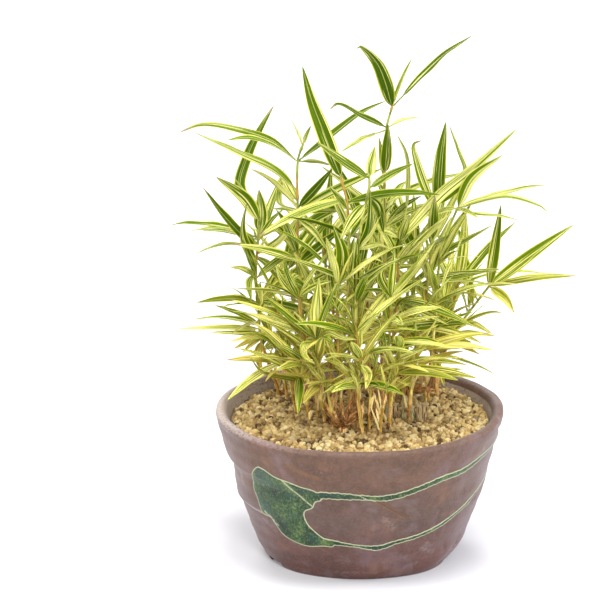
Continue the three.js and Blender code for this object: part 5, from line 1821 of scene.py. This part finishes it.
# Dry sheaths: pointed scraps round a small core, curled and split
sheathClumps = {
    "dry_sheaths_front": {
        "name": "drySheathsFront",
        "middle": [-7.5, -22],
        "count": 30,
        "reach": [7, 16],
        "pitch": [25, 88],
        "seed": 5,
    },
    "dry_sheaths_back": {
        "name": "drySheathsBack",
        "middle": [22, 30],
        "count": 24,
        "reach": [8, 15],
        "pitch": [0, 62],
        "seed": 9,
    },
}
sheathLook = dict(
    scrapLook,
    rows=14,
    thick=0.3,
    stalkThick=0.9,
    stalkHalf=0.7,
    fold=[0.5, 1.1],
    twist=[-1.2, 1.2],
)
sheaths = {
    "step": 137.5,
    "from": 64.9,
    "droop": [0, 0.3],
    "roll": [-0.5, 0.5],
    "width": [1.6, 3.2],
    "green": [0.05, 0.5],
    "core": [[2.4, 58.2], [2.5, 61], [2.4, 63], [2.1, 64.5], [1.6, 65.6], [0.9, 66.2]],
    "coreSides": 14,
    "coreTop": 66.4,
    "frayed": 0.12,
}


def corePart(x, y):
    # ring(i, a) = middle + radius(i)·(1 + frayed(i)·sin 5a)·(cos a, sin a), at height(i)
    radii, heights = np.array(sheaths["core"]).T
    a = evenAngles(sheaths["coreSides"])
    frayed = sheaths["frayed"] * np.sin(5 * a)[None] * np.linspace(0.3, 1, len(heights))[:, None]
    r = radii[:, None] * (1 + frayed)
    z = np.repeat(heights[:, None], len(a), 1)
    rings = np.stack([x + r * np.cos(a), y + r * np.sin(a), z], -1)
    uv = gridUv(a / (2 * math.pi), heights[:, None] / alongUnit)
    tone = np.full((*r.shape, 3), 0.5)
    return tubePart(rings, [x, y, heights[0]], [x, y, sheaths["coreTop"]], uv, tone)


def makeSheathClump(node, clump):
    draw = dice(clump["seed"])
    draws = np.random.default_rng(clump["seed"])
    x, y = clump["middle"]
    parts = [corePart(x, y)]
    for i in range(clump["count"]):
        shape = {"turn": i * math.radians(sheaths["step"]), "lean": 0}
        shape["pitch"] = math.radians(draw(*clump["pitch"]))
        shape["length"] = draw(*clump["reach"])
        for key in ("droop", "roll", "width"):
            shape[key] = draw(*sheaths[key])
        blade = fanBlade(np.array([x, y, sheaths["from"]]), shape)
        blade["green"], blade["age"] = draws.uniform(*sheaths["green"]), draws.uniform()
        parts.append(bladePart(blade, sheathLook, draws))
    return makePiece(clump["name"], parts, [sheathMaterial], [node], sharp=50)


for node, clump in sheathClumps.items():
    makeSheathClump(node, clump)
print("dry sheaths made")


# Cut stubs: old culms cut off short, each a leaning tube with a hollow slanted top
stubs = {
    "start": 10.5,
    "pitch": 1.8,
    "pitchStray": 0.3,
    "count": 11,
    "depth": -7,
    "stagger": 1.3,
    "sides": 18,
    "radius": [1.0, 1.7],
    "bore": 0.5,
    "low": 56.2,
    "inGravel": [59, 62],
    "high": [67, 74],
    "node": [63.5, 66],
    "nodeHalf": 0.3,
    "shares": [1, 1, 1, 1, 1.18, 1, 0.97, 0.95, 0.88],  # of the radius, from the low end to the cut
    "belowTop": [1.8, 0.15, 0, 0, 0.2, 1.6],  # up the outside, over the cut and down the bore
    "boreEdge": 0.12,
    "boreNarrower": 0.9,
    "boreDeep": 1.7,
    "ribs": 0.06,
    "lean": 0.16,
    "slant": [0.3, 1.1],
    "slantDeep": 0.3,
    "seed": 33,
}


def stubPart(x, y, draws):
    # ring(z, a) = place + lean·(z − low) + radius(z)·(1 + ribs)·(cos a, sin a), cut at a slant and bored
    shape = stubs
    a = evenAngles(shape["sides"])
    outer, bore = draws.uniform(*shape["radius"]), shape["bore"]
    top = draws.uniform(*shape["high"])
    node = draws.uniform(*shape["node"])
    atNode = [node - shape["nodeHalf"], node, node + shape["nodeHalf"]]
    atTop = [top - deep for deep in shape["belowTop"]]
    heights = np.array([shape["low"], *shape["inGravel"], *atNode, *atTop])
    inside = [bore + shape["boreEdge"], bore, bore * shape["boreNarrower"]]
    radii = np.concatenate([outer * np.array(shape["shares"]), inside])
    ribs = 1 + shape["ribs"] * np.sin(7 * a + draws.uniform(0, 6))[None]
    r = radii[:, None] * np.where(radii[:, None] > inside[0], ribs, 1)
    slant = draws.uniform(*shape["slant"]) * np.cos(a + draws.uniform(0, 6))[None]
    slant = slant * (heights[:, None] > top - shape["slantDeep"])
    lean = draws.uniform(-shape["lean"], shape["lean"], 2)
    middle = np.array([x, y]) + lean * (heights - shape["low"])[:, None]
    rings = np.stack([
        middle[:, :1] + r * np.cos(a),
        middle[:, 1:] + r * np.sin(a),
        heights[:, None] + slant * r / outer,
    ], -1)
    uv = gridUv(a / (2 * math.pi), heights[:, None] / alongUnit)
    tone = np.tile([draws.uniform(), 0.5, draws.uniform()], (*r.shape, 1))
    tone[len(shape["shares"]) - 1:, :, 1] = 1.0
    return tubePart(rings, [*middle[0], heights[0]], [*middle[-1], top - shape["boreDeep"]], uv, tone)


def makeStubs():
    draws = np.random.default_rng(stubs["seed"])
    stray, stagger = stubs["pitchStray"], stubs["stagger"]
    parts = []
    for i in range(stubs["count"]):
        x = stubs["start"] + i * stubs["pitch"] + draws.uniform(-stray, stray)
        parts.append(stubPart(x, stubs["depth"] + draws.uniform(-1, 1) * stagger, draws))
    return makePiece("cutStubs", parts, [makeStubMaterial()], ["cut_stubs"], sharp=50)


def makeStubMaterial():
    material, tree, shader = newMaterial("stubWeathered", 0.8, {"Specular IOR Level": 0.2})
    seed, cut, tint = toneOf(tree)
    fine = addStripes(tree, surfaceOf(tree), seed, 14.0, 4.0)["Fine"]
    greys = [(0.36, (0.05, 0.045, 0.015)), (0.46, (0.25, 0.22, 0.085)), (0.6, (0.5, 0.44, 0.22))]
    browns = [(0.38, (0.035, 0.018, 0.008)), (0.48, (0.2, 0.12, 0.05)), (0.62, (0.5, 0.36, 0.17))]
    grey = addRamp(tree, (-500, 300), greys, fine)
    brown = addRamp(tree, (-500, 0), browns, fine)
    colour = addLayer(tree, (-250, 200), grey, brown, tint, 0.5, 0.7)
    colour = addLayer(tree, (-100, 200), colour, (0.42, 0.35, 0.2), cut, 0.7, 0.9)
    tree.links.new(colour, shader.inputs["Base Color"])
    bumpFrom(tree, fine, 0.6, 0.0003, shader)
    return material


makeStubs()
print("cut stubs made")


# Drain nets: woven plastic squares over the three holes, seen only from below
netShape = {"size": 14.8, "strands": 6, "samples": 37, "thick": 0.42, "weave": 0.22, "z": 7.8}


def makeNet(number, angle):
    # strand(s, a) = place + weave·cos(π·s ÷ spacing) up and down, with a square ring of four corners round
    shape = netShape
    s = np.linspace(-shape["size"] / 2, shape["size"] / 2, shape["samples"])
    spacing = shape["size"] / shape["strands"]
    places = (np.arange(shape["strands"]) + 0.5) * spacing - shape["size"] / 2
    corners = np.array([[1, -1], [1, 1], [-1, 1], [-1, -1]]) * shape["thick"] / 2
    parts = []
    for way in (0, 1):
        for i, place in enumerate(places):
            rise = shape["weave"] * np.cos(math.pi * (s - places[0]) / spacing + math.pi * (i + way))
            along = s[:, None] + np.zeros(4)
            aside = place + np.broadcast_to(corners[:, 0], along.shape) * (-1 if way else 1)
            z = shape["z"] + rise[:, None] + corners[:, 1]
            rings = np.stack([aside, along, z] if way else [along, aside, z], -1)
            rings[..., 0] += bowlShape["drainAt"]
            rings = turnRound(rings, angle)
            uv = np.zeros((len(s), 4, 2))
            tone = np.full((len(s), 4, 3), 0.5)
            parts.append(tubePart(rings[:, ::-1], rings[0].mean(0), rings[-1].mean(0), uv, tone))
    return makePiece(f"drainNet{number}", parts, [netMaterial], [f"drain_net_{number}"], sharp=30)


def makeNetMaterial():
    material, tree, shader = newMaterial("netPlastic", 0.55)
    dust = addMottle(tree, (-900, 0), 400.0, 2000.0)["Broad"]
    colour = addLayer(tree, (-200, 0), (0.02, 0.021, 0.02), (0.12, 0.1, 0.07), dust, 0.45, 0.7, 0.5)
    tree.links.new(colour, shader.inputs["Base Color"])
    return material


netMaterial = makeNetMaterial()
for number, angle in enumerate(bowlShape["drainAngles"], 1):
    makeNet(number, angle)
print("drain nets made")


# Stage: pale floor, soft light from above and all round, and the photograph's camera
studio = {
    "floorSize": 9.0,
    "floorTone": (0.66, 0.66, 0.68),
    "airTone": (1.0, 1.0, 1.02),
    "airStrength": 0.7,
    "lights": [  # name, place, size, power and tone
        ["topLight", (0.1, -0.15, 1.95), 0.9, 34, (1, 0.99, 0.97)],
        ["frontLight", (0.35, -1.9, 0.95), 0.7, 30, (1, 0.99, 0.97)],
        ["leftLight", (-1.5, 0, 0.75), 0.9, 15, (1, 1, 1)],
        ["rightLight", (1.5, 0.05, 0.75), 0.9, 16, (0.94, 0.98, 1.08)],
        ["backLight", (-0.5, 1.6, 1.1), 0.9, 20, (1, 1, 1)],
    ],
    "lightsAim": (0, 0, 0.1),
    "target": (-0.027, 0.0, 0.1183),
    "distance": 6.0,
    "frameWidth": 0.27,
    "sensor": 36,
    "farthest": 40,
}


def makeStage():
    half = studio["floorSize"] / 2
    corners = [(-half, -half, 0), (half, -half, 0), (half, half, 0), (-half, half, 0)]
    mesh = newMesh("floor", corners, [(0, 1, 2, 3)])
    mesh.materials.append(newMaterial("floorPale", 0.9, {"Base Color": (*studio["floorTone"], 1)})[0])
    addObject("floor", mesh)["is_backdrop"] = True
    world = bpy.data.worlds.new("studioAir")
    world.use_nodes = True
    air = world.node_tree.nodes["Background"]
    air.inputs["Color"].default_value = (*studio["airTone"], 1)
    air.inputs["Strength"].default_value = studio["airStrength"]
    bpy.context.scene.world = world


def aimAt(thing, at, target):  # lets the thing look along −Z from its place to the target
    way = np.array(target) - np.array(at)
    rise = math.atan2(way[2], math.hypot(way[0], way[1]))
    thing.location = at
    thing.rotation_euler = (math.pi / 2 + rise, 0, math.atan2(-way[0], way[1]))


def makeLights():
    for name, at, size, power, tone in studio["lights"]:
        light = bpy.data.lights.new(name, "AREA")
        light.shape = "DISK"
        light.size = size
        light.energy = power
        light.color = tone
        aimAt(addObject(name, light), at, studio["lightsAim"])


def makeCamera():
    lens = bpy.data.cameras.new("photoView")
    lens.sensor_width = studio["sensor"]
    lens.lens = studio["sensor"] * studio["distance"] / studio["frameWidth"]
    lens.clip_end = studio["farthest"]
    holder = addObject("photoView", lens)
    at = np.array(studio["target"]) - sight * studio["distance"]
    aimAt(holder, at.tolist(), studio["target"])
    bpy.context.scene.camera = holder


makeStage()
makeLights()
makeCamera()
bpy.context.scene.view_settings.view_transform = "Standard"
print("stage, lights and camera made")

bounds = {"cad": cadBounds, "visual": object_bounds()}
{key: [list(corner) for corner in corners] for key, corners in bounds.items()}
